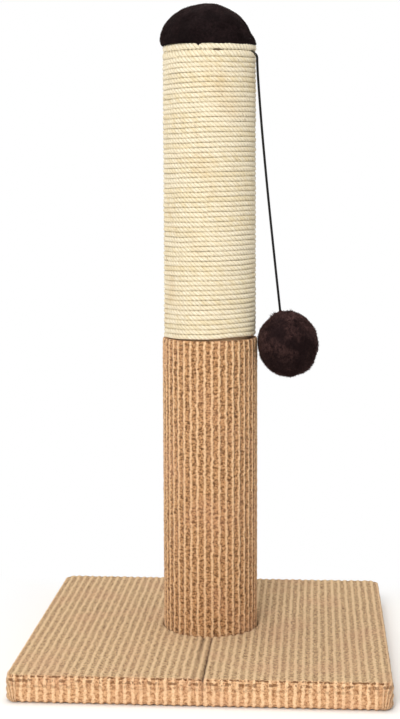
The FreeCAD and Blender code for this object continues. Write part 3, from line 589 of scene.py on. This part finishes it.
def floor_material():
    """White floor that fades into a white background further off. It keeps the object's shadow."""
    material, tree, shader = new_material("studio_floor")
    feed(tree, shader, {"Base Color": (0.93, 0.925, 0.915, 1.0), "Roughness": 1.0, "Specular IOR Level": 0.0})
    parts = separated(tree, object_place(tree))
    level = calc(tree, "MAXIMUM", calc(tree, "ABSOLUTE", parts["X"]), calc(tree, "ABSOLUTE", parts["Y"]))
    far = remap(tree, level, 0.152, 0.23)
    share = times(tree, far, seen_directly(tree))
    white = put(tree, "Emission", {"Strength": 1.0}).outputs[0]
    mixed = put(tree, "MixShader", {0: share, 1: shader.outputs[0], 2: white}).outputs[0]
    tree.links.new(mixed, tree.nodes["Material Output"].inputs["Surface"])
    return material


def seen_directly(tree):
    path = put(tree, "LightPath").outputs
    mirrored = calc(tree, "MAXIMUM", path["Is Glossy Ray"], path["Is Transmission Ray"])
    return calc(tree, "MAXIMUM", path["Is Camera Ray"], mirrored)


def light_world(strength):
    world = bpy.data.worlds.new("white_studio")
    world.use_nodes = True
    tree = world.node_tree
    tree.nodes.clear()
    white = (1.0, 1.0, 1.0, 1.0)
    around, behind = (
        put(tree, "Background", {"Color": white, "Strength": level}).outputs[0] for level in (strength, 1.0)
    )
    mixed = put(tree, "MixShader", {0: seen_directly(tree), 1: around, 2: behind}).outputs[0]
    put(tree, "OutputWorld", {"Surface": mixed})
    bpy.context.scene.world = world


# Pieces


def mesh_object(name, bm, material):
    mesh = bpy.data.meshes.new(name)
    bm.to_mesh(mesh)
    bm.free()
    mesh.materials.append(material)
    return add_object(name, mesh)


def make_piece(name, bm, material, body="post_and_base"):
    """Turns a mesh worked in millimetres into a smooth object that rides on a body."""
    bmesh.ops.scale(bm, vec=(MM, MM, MM), verts=bm.verts)
    piece = mesh_object(name, bm, material)
    piece.data.shade_smooth()
    if body:
        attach(piece, body)
    return piece


def open_edges(bm):
    return [edge for edge in bm.edges if edge.is_boundary]


def face_outward(bm):
    bmesh.ops.recalc_face_normals(bm, faces=bm.faces[:])


def extrude(bm, edges):
    """Extrudes edges where they are, for the caller to move: (new edges, new vertices)."""
    made = bmesh.ops.extrude_edge_only(bm, edges=edges)["geom"]
    kinds = (bmesh.types.BMEdge, bmesh.types.BMVert)
    return [[item for item in made if isinstance(item, kind)] for kind in kinds]


def map_uv(bm, name, rule):
    """Makes a UV map from a rule for a vertex's place in it."""
    layer = bm.loops.layers.uv.new(name)
    for face in bm.faces:
        for loop in face.loops:
            loop[layer].uv = rule(loop.vert)


# Cord


def cord_line():
    """Points along the cord's smooth line, in metres."""
    curve = bpy.data.curves.new("cord_line", "CURVE")
    curve.dimensions = "3D"
    spline = curve.splines.new("NURBS")
    spline.points.add(len(CORD_ROUTE) - 1)
    for point, place in zip(spline.points, CORD_ROUTE):
        point.co = (*(MM * part for part in place), 1.0)
    spline.order_u = 3
    spline.use_endpoint_u = True
    spline.resolution_u = 24
    guide = add_object("cord_line", curve)
    mesh = bpy.data.meshes.new_from_object(guide)
    line = [vert.co.copy() for vert in mesh.vertices]
    bpy.data.objects.remove(guide)
    bpy.data.meshes.remove(mesh)
    return line


def tube_on_line(bm, line, radius, sides, taper=None):
    """A closed tube along points: a circle extruded from one point to the next."""
    way = (line[1] - line[0]).normalized()
    turn = Vector((0, 0, 1)).rotation_difference(way)
    place = Matrix.Translation(line[0]) @ turn.to_matrix().to_4x4()
    ring = bmesh.ops.create_circle(bm, segments=sides, radius=radius, cap_ends=False, matrix=place)["verts"]
    rings = [ring]
    edges = list({edge for vert in ring for edge in vert.link_edges})
    last = len(line) - 1
    for i in range(1, last + 1):
        edges, ring = extrude(bm, edges)
        edges = [edge for edge in edges if edge.is_boundary]
        next_way = (line[min(i + 1, last)] - line[i - 1]).normalized()
        bend = way.rotation_difference(next_way).to_matrix().to_4x4()
        size = taper(i / last) / taper((i - 1) / last) if taper else 1.0
        shift = Matrix.Translation(line[i]) @ bend @ Matrix.Scale(size, 4) @ Matrix.Translation(-line[i - 1])
        bmesh.ops.transform(bm, matrix=shift, verts=ring)
        way = next_way
        rings.append(ring)
    caps = {edge for vert in rings[0] + rings[-1] for edge in vert.link_edges if edge.is_boundary}
    bmesh.ops.holes_fill(bm, edges=list(caps))
    return rings


def build_cord(material):
    line = cord_line()
    bm = bmesh.new()
    scaled = [point / MM for point in line]
    rings = tube_on_line(bm, scaled, CORD_RADIUS, CORD_SIDES)
    face_outward(bm)
    lengths = [0.0]
    for before, after in zip(scaled, scaled[1:]):
        lengths.append(lengths[-1] + (after - before).length)
    numbers = {vert: (number, side) for number, ring in enumerate(rings) for side, vert in enumerate(ring)}
    twist = bm.loops.layers.uv.new("twist")
    for face in bm.faces:
        seam = len({numbers[vert][1] for vert in face.verts} & {0, CORD_SIDES - 1}) == 2
        for loop in face.loops:
            number, side = numbers[loop.vert]
            if seam and side == 0:
                side = CORD_SIDES
            loop[twist].uv = (lengths[number], side / CORD_SIDES)
    cord = make_piece("toy_cord", bm, material, body=None)
    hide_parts("cord_tail", "cord_bend", "cord_drop")
    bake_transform(cord, "cord_bend", "cord_drop", start=(0.0397, -0.0084, 0.5025), end=(0.0398, -0.0083, 0.4965))


# Sisal rope


def rope_azimuth(turn):
    return (ROPE_END_AZIMUTH + 360 * (turn - ROPE_TURNS) + 180) % 360 - 180


def rope_height(turn):
    """Height of the rope's line. The first turn lifts off the sleeve at one side."""
    left = ROPE_TURNS - turn
    if left < TOP_TURNS[-1][0]:
        for (near, upper), (far, lower) in zip(TOP_TURNS, TOP_TURNS[1:]):
            if left <= far:
                return upper + (lower - upper) * max(left - near, -0.3) / (far - near)
    lift = 0.8 * hump(rope_azimuth(turn) + 52, 30) * max(0.0, 1 - turn / 2)
    return ROPE_END_HEIGHT - left * ROPE_PITCH + lift


def rope_room(turn):
    """Half of the room to the rows below and above. The rows part where the cord leaves and at one slit."""
    here, half = rope_height(turn), ROPE_PITCH / 2
    below = (here - rope_height(turn - 1)) / 2 if turn > 1 else half
    above = (rope_height(turn + 1) - here) / 2 if turn < ROPE_TURNS - 1 else half + 0.15
    azimuth = rope_azimuth(turn)
    parted = max(hump(azimuth - CORD_AZIMUTH, 7), 0.6 * hump(azimuth - SLIT_AZIMUTH, 5))
    tight = half - 0.2
    if turn > ROPE_TURNS - 1:
        below += (tight - below) * parted
    elif turn > ROPE_TURNS - 2:
        above += (tight - above) * parted
    return max(below, tight) - 0.01, max(above, tight) - 0.01


def rope_ring(turn):
    """Centre of the rope's section, and its outward way, at a number of turns."""
    out = level_way(math.radians(ROPE_END_AZIMUTH) + 2 * math.pi * (turn - ROPE_TURNS))
    height = rope_height(turn)
    sway = 0.5 * rough(out.x * 1.7, out.y * 1.7, height / 21)
    jitter = 0.12 * rough(turn * 9.0, 4.2, 1.1)
    push = 0.2 * rough(turn * 6.1, 7.7, 0.3) + 0.3 * rough(turn * 26.0, 2.7, 6.3)
    return out * (ROPE_PATH_RADIUS + push) + Vector((0, 0, height + sway + jitter)), out


def strand_reach(angle):
    """Radius of a section of three laid strands, as a share of the rope's radius."""
    third = 2 * math.pi / 3
    local = (angle + third / 2) % third - third / 2
    offset, strand = 0.52, 0.48
    lobe = offset * math.cos(local) + math.sqrt(max(strand**2 - (offset * math.sin(local)) ** 2, 0.0))
    return max(lobe, 0.74)


def wind_rope(name, first, last, material):
    """Part of the rope's winding: a flat grid rolled into three laid strands and led round the post."""
    bm = bmesh.new()
    steps = round((last - first) * RINGS_PER_TURN)
    bmesh.ops.create_grid(bm, x_segments=steps, y_segments=SECTION_POINTS, size=0.5)
    turn_length = 2 * math.pi * ROPE_PATH_RADIUS

    def turns(vert):
        return first + (last - first) * (vert.co.x + 0.5)

    map_uv(bm, "strand", lambda vert: (turns(vert) * turn_length, 3 * (vert.co.y + 0.5) + 0.5))
    for vert in bm.verts:
        turn = turns(vert)
        angle = 2 * math.pi * (vert.co.y + 0.5)
        centre, out = rope_ring(turn)
        reach = ROPE_RADIUS * strand_reach(angle)
        round_it = angle - 2 * math.pi * turn * turn_length / STRAND_LAY
        below, above = rope_room(turn)
        side = math.sin(round_it)
        room = above if side > 0 else below
        rise = max(-room, min(room, 1.32 * reach * side * room / (ROPE_PITCH / 2)))
        vert.co = centre + out * (reach * math.cos(round_it)) + Vector((0, 0, rise))
    bmesh.ops.remove_doubles(bm, verts=bm.verts[:], dist=1e-4)
    bmesh.ops.holes_fill(bm, edges=open_edges(bm))
    face_outward(bm)
    return make_piece(name, bm, material)


def build_rope(material):
    lower = wind_rope("sisal_winding_lower", 0.0, 20.0, material)
    wind_rope("sisal_winding_middle", 20.0, 40.0, material)
    upper = wind_rope("sisal_winding_top", 40.0, ROPE_TURNS, material)
    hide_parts("sisal_rope_lower_turns")
    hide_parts("sisal_rope_top_turns")


def build_loose_fibres(material):
    """Short hairs that stand off the rope, and a wisp where the cord comes out."""
    draw = random.Random(41)
    bm = bmesh.new()
    starts = []
    for _ in range(HAIRS):
        starts.append([draw.uniform(*ends) for ends in ((0, 360), (275, 507), (2.5, 9.0), (0.1, 0.9))])
    for _ in range(WISP_HAIRS):
        starts.append([draw.uniform(*ends) for ends in ((-14, 4), (506.5, 509), (3.0, 6.0))] + [1.4])
    for azimuth, height, length, lift in starts:
        out = level_way(math.radians(azimuth))
        around = Vector((-out.y, out.x, 0)) * draw.choice((-1, 1))
        way = around + out * 0.25 * lift + Vector((0, 0, draw.uniform(-0.5, 0.5)))
        curl = any_way(draw) * 0.35
        line = [out * (ROPE_PATH_RADIUS + ROPE_RADIUS - 0.35) + Vector((0, 0, height))]
        for step in range(5):
            way = (way.normalized() + curl * 0.3 + out * 0.12 * lift * step / 4).normalized()
            line.append(line[-1] + way * length / 5)
        tube_on_line(bm, line, HAIR_RADIUS, 3, taper=lambda share: 1 - 0.75 * share)
    face_outward(bm)
    map_uv(bm, "strand", lambda vert: (vert.co.x + vert.co.y, vert.co.z))
    make_piece("sisal_loose_fibres", bm, material)


# Ribbed carpet


def rib_sample(across, along, seed, depth, width):
    """(millimetres above the pile's middle crest, crest share) at a place on the flat carpet."""
    number = round(across / RIB)
    sway = 0.5 * rough(number * 7.13, along / 11, seed)
    sway += 0.95 * rough(number * 3.7, along / 3.4, seed + 5)
    crest = hump(abs(((across - sway) / RIB + 0.5) % 1 - 0.5), width)
    loop = rough(across / 1.5, along / 1.2, seed + 9)
    rung = rough(number * 5.1, along / 1.3, seed + 2)
    height = -depth * (1 - crest) + 0.7 * loop * (1 - crest) + 0.4 * rung - 0.35
    return min(height, 0.12), crest


def wrap_point(across, along):
    """A place on the flat cut, folded over the board.

    Gives its point, its outward way, its depth past the fold's start, its place on the flat cut with
    the corners spread out, and how far it faces the front or back.
    """
    x, y = abs(across), abs(along)
    beyond_x = x - CORNER_CENTRE
    beyond_y = y - CORNER_CENTRE
    if beyond_x > 0 and beyond_y > 0:
        reach = max(beyond_x, beyond_y)
        turn = math.pi / 4 * (min(beyond_x, beyond_y) / reach)
        if beyond_y > beyond_x:
            turn = math.pi / 2 - turn
        way, start = level_way(turn), Vector((CORNER_CENTRE, CORNER_CENTRE, 0))
    elif beyond_x > beyond_y:
        reach, way, start = beyond_x, Vector((1, 0, 0)), Vector((CORNER_CENTRE, y, 0))
    else:
        reach, way, start = beyond_y, Vector((0, 1, 0)), Vector((x, CORNER_CENTRE, 0))
    depth = reach - CORNER_RADIUS
    flat = start + way * reach
    side, height, level, upright = fold_profile(depth)
    point = flat.copy() if depth <= 0 else start + way * (CORNER_RADIUS + side)
    out = way * level + Vector((0, 0, upright))
    point.z = height
    signs = (math.copysign(1, across), math.copysign(1, along), 1)
    return sized(point, signs), sized(out, signs), depth, sized(flat, signs), abs(way.y)


def fold_profile(depth):
    """(distance beyond the top, height, outward way's level and upright parts) at a depth over the edge."""
    if depth <= 0:
        return 0.0, BASE_HEIGHT, 0.0, 1.0
    if depth < QUARTER_FOLD:
        angle = depth / FOLD_RADIUS
        height = BASE_HEIGHT - FOLD_RADIUS * (1 - math.cos(angle))
        return FOLD_RADIUS * math.sin(angle), height, math.sin(angle), math.cos(angle)
    if depth < QUARTER_FOLD + FACE_HEIGHT:
        return FOLD_RADIUS, BASE_HEIGHT - FOLD_RADIUS - (depth - QUARTER_FOLD), 1.0, 0.0
    angle = min((depth - QUARTER_FOLD - FACE_HEIGHT) / FOLD_RADIUS, math.pi / 2)
    height = FOLD_RADIUS * (1 - math.sin(angle))
    return FOLD_RADIUS * math.cos(angle), height, math.cos(angle), -math.sin(angle)


def hem_point(across, along, inward):
    """A point of the turned-under hem, this far in from the flat underside's edge."""
    corner = CORNER_RADIUS - inward
    centre = CORNER_CENTRE + min(corner, 0)
    place = wrap_point(across, along)[0]
    x, y = abs(place.x), abs(place.y)
    if abs(across) > CORNER_CENTRE and abs(along) > CORNER_CENTRE:
        turn = Vector((x - CORNER_CENTRE, y - CORNER_CENTRE, 0)).normalized()
        point = Vector((centre, centre, 0)) + turn * max(corner, 0)
    elif abs(across) > CORNER_CENTRE:
        point = Vector((FLAT_HALF - inward, y * centre / CORNER_CENTRE, 0))
    else:
        point = Vector((x * centre / CORNER_CENTRE, FLAT_HALF - inward, 0))
    return Vector((math.copysign(point.x, place.x), math.copysign(point.y, place.y), 0))


def slit_opening(across, along):
    """How far the two valleys beside the loose rib are open, from the post to the front edge."""
    if along > -40 or along < -172:
        return 0.0
    share = (-41 - along) / 105
    left = hump(across + 3.0, 1.2) * max(0.2, 0.9 - 0.9 * share)
    right = hump(across - SLIT_PLACE, 1.0) * max(0.3, min(0.9, 0.3 + 0.8 * share))
    fade = 1.0 if along > -146 else max(0.0, 1 - (-146 - along) / 9)
    broken = 0.75 + 0.5 * rough(across / 3, along / 5, 3.3)
    return max(left, right) * fade * min(broken, 1.0)


def build_base_cover(carpet, backing):
    """The carpet is a flat grid with a hole and a slit, folded over the board and turned under."""
    bm = bmesh.new()
    bmesh.ops.create_grid(bm, x_segments=BASE_COLUMNS, y_segments=BASE_ROWS, size=COVER_HALF)
    cut_post_hole(bm)
    cut_slit(bm)
    flat, outward = (bm.verts.layers.float_vector.new(name) for name in ("flat", "outward"))
    names = ("crest", "opened", "lit_front_face", "fold_depth")
    crest, opened, lit_front_face, fold_depth = (bm.verts.layers.float.new(name) for name in names)
    for vert in bm.verts:
        across, along = vert.co.x, vert.co.y
        vert[flat] = (across, along, 0)
        place, out, depth, cut, front = wrap_point(across, along)
        height, share = rib_sample(cut.x, cut.y, *BASE_PILE)
        opening = slit_opening(across, along) if depth < 12 else 0.0
        vert[crest] = share
        # The opening also sets how much painted shade the slit gets.
        vert[opened] = opening
        vert[fold_depth] = depth
        # The front face takes the carpet's lighter colours as painted light, and the sides take less of them.
        vert[lit_front_face] = clamped((depth - 0.5) / 2) * (0.4 + 0.6 * front)
        vert[outward] = out
        vert.co = place + out * (height - 2.4 * opening)
    fold_hem(bm, flat, outward, crest, opened)
    map_uv(bm, "weave", lambda vert: vert[flat].xy)
    thicken_edges(bm, outward, crest)
    face_outward(bm)
    cover = make_piece("ribbed_base_cover", bm, carpet)
    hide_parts("base_cover")
    lining = build_cover_backing(backing)


def cut_post_hole(bm):
    gone = [face for face in bm.faces if face.calc_center_median().length < POST_HOLE_RADIUS]
    bmesh.ops.delete(bm, geom=gone, context="FACES")
    for vert in bm.verts:
        near = math.hypot(vert.co.x, vert.co.y)
        if vert.is_boundary and near < POST_HOLE_RADIUS + 3:
            vert.co.x *= POST_HOLE_RADIUS / near
            vert.co.y *= POST_HOLE_RADIUS / near


def cut_slit(bm):
    """One column of faces goes, and the slit's sides close over most of its width."""
    column = 2 * COVER_HALF / BASE_COLUMNS
    gone = []
    for face in bm.faces:
        middle = face.calc_center_median()
        if middle.y < -38 and abs(middle.x - SLIT_PLACE) < column / 2:
            gone.append(face)
    bmesh.ops.delete(bm, geom=gone, context="FACES")
    for vert in bm.verts:
        beside = vert.co.x - SLIT_PLACE
        if vert.is_boundary and abs(beside) < column and -173 < vert.co.y < -42:
            vert.co.x -= beside * (0.9 - 0.45 * slit_opening(SLIT_PLACE, vert.co.y))


def fold_hem(bm, flat, outward, crest, opened):
    """The outer edge is extruded inward in steps along the underside."""
    steps = 7

    def outer(edge):
        middle = (edge.verts[0][flat] + edge.verts[1][flat]) / 2
        return edge.is_boundary and max(abs(middle.x), abs(middle.y)) > COVER_HALF - 0.01

    edges = [edge for edge in bm.edges if outer(edge)]
    for step in range(1, steps + 1):
        edges, ring = extrude(bm, edges)
        for vert in ring:
            across, along = vert[flat].xy
            height, share = rib_sample(across, along, *BASE_PILE)
            vert[crest] = share
            vert[opened] = 0.0
            vert[outward] = (0, 0, -1)
            vert.co = hem_point(across, along, HEM_DEPTH * step / steps) + Vector((0, 0, -height))


def thicken_edges(bm, outward, crest):
    """Open edges are extruded back through the carpet's thickness."""
    for vert in extrude(bm, open_edges(bm))[1]:
        vert.co -= vert[outward] * (CARPET_THICKNESS - 1.0)
        vert[crest] = 0.0


def build_cover_backing(material):
    """The carpet's inner side: a coarser fold inside the first."""
    bm = bmesh.new()
    bmesh.ops.create_grid(bm, x_segments=112, y_segments=112, size=COVER_HALF)
    cut_post_hole(bm)
    for vert in bm.verts:
        place, out = wrap_point(vert.co.x, vert.co.y)[:2]
        vert.co = place - out * CARPET_THICKNESS
    bmesh.ops.reverse_faces(bm, faces=bm.faces[:])
    return make_piece("base_cover_backing", bm, material)


def build_sleeve(carpet, backing):
    """The flat sleeve is a grid, bent round the post with its seam at the back."""
    length = SLEEVE_TOP - SLEEVE_FOOT
    bm = bmesh.new()
    bmesh.ops.create_grid(bm, x_segments=SLEEVE_RIBS * 7, y_segments=SLEEVE_ROWS, size=0.5)
    flat, outward = (bm.verts.layers.float_vector.new(name) for name in ("flat", "outward"))
    crest, shaded_sleeve = (bm.verts.layers.float.new(name) for name in ("crest", "shaded_sleeve"))
    for vert in bm.verts:
        across = vert.co.x * SLEEVE_RIBS * RIB + SLEEVE_SHIFT
        along = vert.co.y * length
        out = level_way(-math.pi / 2 + vert.co.x * (2 * math.pi - 2 * math.radians(SEAM_HALF_ANGLE)))
        height, share = rib_sample(across, along, *SLEEVE_PILE)
        edge = min(vert.co.y + 0.5, 0.5 - vert.co.y) * length
        rounding = 0.8 * max(0.0, 1 - edge / 2.5) ** 2
        ragged = 0.35 * rough(out.x * 9, out.y * 9, 5.5) if edge < 0.5 else 0.0
        vert[flat] = (across, along, 0)
        vert[outward] = out
        vert[crest] = share
        # The whole sleeve takes the carpet's darker colours as painted shade.
        vert[shaded_sleeve] = 1.0
        lift = along + length / 2 + SLEEVE_FOOT + ragged
        vert.co = out * (SLEEVE_RADIUS + height - rounding) + Vector((0, 0, lift))
    map_uv(bm, "weave", lambda vert: vert[flat].xy)
    thicken_edges(bm, outward, crest)
    face_outward(bm)
    sleeve = make_piece("ribbed_post_sleeve", bm, carpet)
    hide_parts("post_sleeve")
    lining = build_sleeve_backing(backing)


def build_sleeve_backing(material):
    bm = bmesh.new()
    radius = SLEEVE_RADIUS - CARPET_THICKNESS
    bmesh.ops.create_cone(
        bm, cap_ends=False, segments=120, radius1=radius, radius2=radius, depth=SLEEVE_TOP - SLEEVE_FOOT,
        matrix=Matrix.Translation((0, 0, (SLEEVE_TOP + SLEEVE_FOOT) / 2)),
    )
    bmesh.ops.reverse_faces(bm, faces=bm.faces[:])
    return make_piece("post_sleeve_backing", bm, material)


# Plush


def quad_ball(cells):
    """A ball of evenly sized quads with a radius of 1."""
    bm = bmesh.new()
    bmesh.ops.create_cube(bm, size=2)
    bmesh.ops.subdivide_edges(bm, edges=bm.edges[:], cuts=cells - 1, use_grid_fill=True)
    for vert in bm.verts:
        vert.co = Vector([math.tan(part * math.pi / 4) for part in vert.co]).normalized()
    return bm


def half_ball(cells):
    bm = quad_ball(cells)
    bmesh.ops.delete(bm, geom=[vert for vert in bm.verts if vert.co.z < -1e-4], context="VERTS")
    return bm


def domed(way, size, foot):
    """Where a way from the dome's middle meets the dome."""
    return sized(way, size) * cap_bulge(math.hypot(way.x, way.y), way.z) + Vector((0, 0, foot))


def raise_pile(bm, height, nap, draw):
    """Each face is poked into a short tuft that leans with the nap."""
    tip = bm.verts.layers.float["tip"]
    tips = bmesh.ops.poke(bm, faces=bm.faces[:], offset=0.0, center_mode="MEAN")["verts"]
    bm.normal_update()
    for vert in tips:
        out = vert.normal.copy()
        lean = nap(vert.co)
        reach = height(vert.co) * draw.uniform(0.55, 1.3)
        vert.co += (out + lean + any_way(draw) * 0.35) * reach
        vert[tip] = 1.0


def close_inside(bm, edges, profile, lean):
    """Extrudes a round edge through (radius, height) steps and closes it at the middle."""
    shift = 0.0
    for radius, height in profile:
        edges, ring = extrude(bm, edges)
        for vert in ring:
            aside = vert.co.x - shift
            across = math.hypot(aside, vert.co.y)
            vert.co = Vector((aside * radius / across + lean(height), vert.co.y * radius / across, height))
        shift = lean(height)
    bmesh.ops.pointmerge(bm, verts=ring, merge_co=(shift, 0, height))


def cap_shape(place):
    """The dome is puffed a little to the left, and softly lumpy."""
    lumps = 0.9 * noise.noise(place / 17) + 0.35 * noise.noise(place / 5)
    out = Vector((place.x, place.y, place.z - CAP_MIDDLE)).normalized()
    lift = clamped((place.z - CAP_FOOT) / 10)
    return place + out * lumps * (0.2 + 0.8 * lift) + Vector((cap_lean(place.z), 0, 0))


def cap_lean(height):
    """The padding sits a little to the left of the post."""
    return -0.6 - 2.3 * clamped((height - CAP_FOOT) / 10)


def cap_bulge(across, upward):
    """How far a way from the dome's middle reaches. The dome is the top of a ball whose middle lies lower."""
    drop = (CAP_RADIUS**2 - CAP_RISE**2) / (2 * CAP_RISE)
    climb = max(upward, 0.0) * CAP_RISE
    size = (across * CAP_RADIUS) ** 2 + climb**2
    return (math.sqrt((drop * climb) ** 2 + size * CAP_RADIUS**2) - drop * climb) / size


def cap_edge(azimuth):
    """How far the plush hangs below its seat: scalloped, with one point near the front."""
    scallop = 0.5 * rough(math.cos(azimuth) * 6, math.sin(azimuth) * 6, 2.0)
    left_rise = 1.1 * max(0.0, -math.cos(azimuth))
    return 0.5 + scallop - left_rise + 2.2 * hump(math.degrees(azimuth) + 98, 2.4)


def build_cap(plush):
    bm = half_ball(100)
    bm.verts.layers.float.new("tip")
    for vert in bm.verts:
        vert.co = domed(vert.co, CAP_SIZE, CAP_MIDDLE)
    edges = open_edges(bm)
    for radius, height in CAP_RIM:
        share = (CAP_MIDDLE - height) / (CAP_MIDDLE - CAP_RIM[-1][1])
        edges, ring = extrude(bm, edges)
        for vert in ring:
            azimuth = math.atan2(vert.co.y, vert.co.x)
            vert.co = level_way(azimuth) * radius + Vector((0, 0, height - cap_edge(azimuth) * share**2))
    for vert in bm.verts:
        vert.co = cap_shape(vert.co)
    face_outward(bm)
    inner_edge = open_edges(bm)

    def nap(place):
        return noise.noise_vector(place / 11) * 0.55 + Vector((0, 0, -0.35))

    raise_pile(bm, lambda place: 0.9 - 0.6 * clamped((511.8 - place.z) / 1.5), nap, random.Random(7))
    profile = [(36.8, 511.2), (35.4, 511.9), (35.2, TUBE_TOP - 0.2)]
    for step in range(1, 9):
        angle = math.radians(5 + 83 * step / 8)
        bulge = cap_bulge(math.cos(angle), math.sin(angle))
        profile.append((36.4 * bulge * math.cos(angle), CAP_MIDDLE + 26.2 * bulge * math.sin(angle)))
    close_inside(bm, inner_edge, profile, cap_lean)
    face_outward(bm)
    cap = make_piece("plush_cap", bm, plush)
    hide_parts("cap_plush")


def build_cap_foam(material):
    """The foam dome under the plush, softly crowned."""
    foot = TUBE_TOP + 0.3
    bm = half_ball(24)
    for vert in bm.verts:
        place = domed(vert.co, FOAM_SIZE, foot + 0.1)
        vert.co = place + vert.co * (0.25 * noise.noise(place / 6) - 0.3)
        vert.co.x += cap_lean(place.z)
    close_inside(bm, open_edges(bm), [(34.6, foot), (18.0, foot), (2.0, foot)], cap_lean)
    face_outward(bm)
    foam = make_piece("cap_foam_dome", bm, material)
    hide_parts("cap_foam")


def ball_matrix():
    turn = Vector((0, 0, 1)).rotation_difference(BALL_POLE).to_matrix().to_4x4()
    return Matrix.Translation(BALL_CENTRE) @ turn


def build_ball(plush):
    bm = quad_ball(76)
    bm.verts.layers.float.new("tip")
    for vert in bm.verts:
        unit = vert.co
        lumps = 0.9 * noise.noise(unit * 1.9) + 0.45 * noise.noise(unit * 4.3)
        aside = math.hypot(unit.x, unit.y) if unit.z > 0 else 9.0
        pole = hump(aside, 0.2)
        rise = lumps * (1 - pole) - 1.1 + 0.85 * pole + 1.35 * hump(aside, 0.1)
        vert.co = sized(unit, BALL_SIZE) + unit * rise

    def nap(place):
        return noise.noise_vector(place / 9) * 0.6 + Vector((0, 0, -0.2))

    def height(place):
        aside = math.hypot(place.x, place.y) if place.z > 0 else 99.0
        tufts = 4.0 * hump(aside - 7.5, 2.4) * max(0.0, noise.noise(place / 2.7))
        return (1.35 + 0.5 * noise.noise(place / 1.7)) * (1 - 0.65 * hump(aside, 3.5)) + tufts

    raise_pile(bm, height, nap, random.Random(19))
    face_outward(bm)
    inner = quad_ball(16)
    for vert in inner.verts:
        vert.co = sized(vert.co, LINING_SIZE)
    bmesh.ops.reverse_faces(inner, faces=inner.faces[:])
    lining = bpy.data.meshes.new("ball_lining")
    inner.to_mesh(lining)
    inner.free()
    bm.from_mesh(lining)
    bpy.data.meshes.remove(lining)
    bmesh.ops.transform(bm, matrix=ball_matrix(), verts=bm.verts)
    ball = make_piece("plush_ball", bm, plush, "toy_ball")
    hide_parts("ball_plush")


def build_ball_filling(material):
    bm = quad_ball(20)
    for vert in bm.verts:
        place = sized(vert.co, FILLING_SIZE)
        vert.co = place - vert.co * (0.5 + 0.5 * noise.noise(place / 4))
    bmesh.ops.transform(bm, matrix=ball_matrix(), verts=bm.verts)
    filling = make_piece("ball_fibre_filling", bm, material, "toy_ball")
    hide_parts("ball_filling")


# Carried-over CAD nodes


def finish_nodes(names, material):
    for name in names:
        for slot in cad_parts[name].material_slots:
            slot.material = material


def add_floor():
    bm = bmesh.new()
    bmesh.ops.create_grid(bm, x_segments=1, y_segments=1, size=6.0)
    mesh_object("studio_floor", bm, floor_material())


def main():
    bpy.context.scene.view_settings.view_transform = "Standard"
    add_camera()
    fibres = fibre_group()
    zinc = metal_group()
    build_cord(cord_material("black_cord", fibres, True))
    sisal = sisal_material("sisal_rope", fibres, (249, 240, 219), (227, 213, 181))
    build_rope(sisal)
    build_loose_fibres(sisal)
    carpet = carpet_material()
    backing = backing_material()
    build_base_cover(carpet, backing)
    build_sleeve(carpet, backing)
    # Each plush's third colour is its painted sheen; the ball's is the lighter one.
    build_cap(plush_material("brown_plush", (16, 8, 9), (26, 13, 14), (48, 30, 31), 0.04))
    build_ball(plush_material("brown_plush_ball", (27, 15, 16), (46, 28, 29), (112, 80, 76), 0.14))
    build_cap_foam(foam_material())
    build_ball_filling(filling_material())
    plated = metal_material("zinc_plated_steel", zinc, (196, 197, 199), (138, 138, 140))
    wire = metal_material("staple_wire", zinc, (176, 177, 180), (120, 120, 124))
    finish_nodes(("hem_staples", "foot_plug_staples", "sleeve_seam_staples", "cap_rim_staples"), wire)
    finish_nodes(("base_bolt", "base_washer", "t_nut"), plated)
    finish_nodes(("foot_plug", "top_plug"), wood_material(wood_group()))
    finish_nodes(("base_board",), board_material())
    finish_nodes(("post_tube",), tube_material())
    finish_nodes(("cord_knot", "ball_knot"), cord_material("black_cord_knot", fibres, False))
    add_floor()
    light_world(0.40)
    add_lamp("key_lamp", (-0.38, -1.95, 1.35), (0, 0, 0.25), 1.0, 35.5, (1.0, 0.985, 0.96))
    add_lamp("fill_lamp", (1.5, -0.7, 0.8), (0, 0, 0.3), 1.2, 1.5, (1.0, 1.0, 1.0))
    add_lamp("top_lamp", (-0.1, 0.1, 1.9), (0, 0, 0.1), 1.2, 15.0, (1.0, 0.99, 0.97))


main()
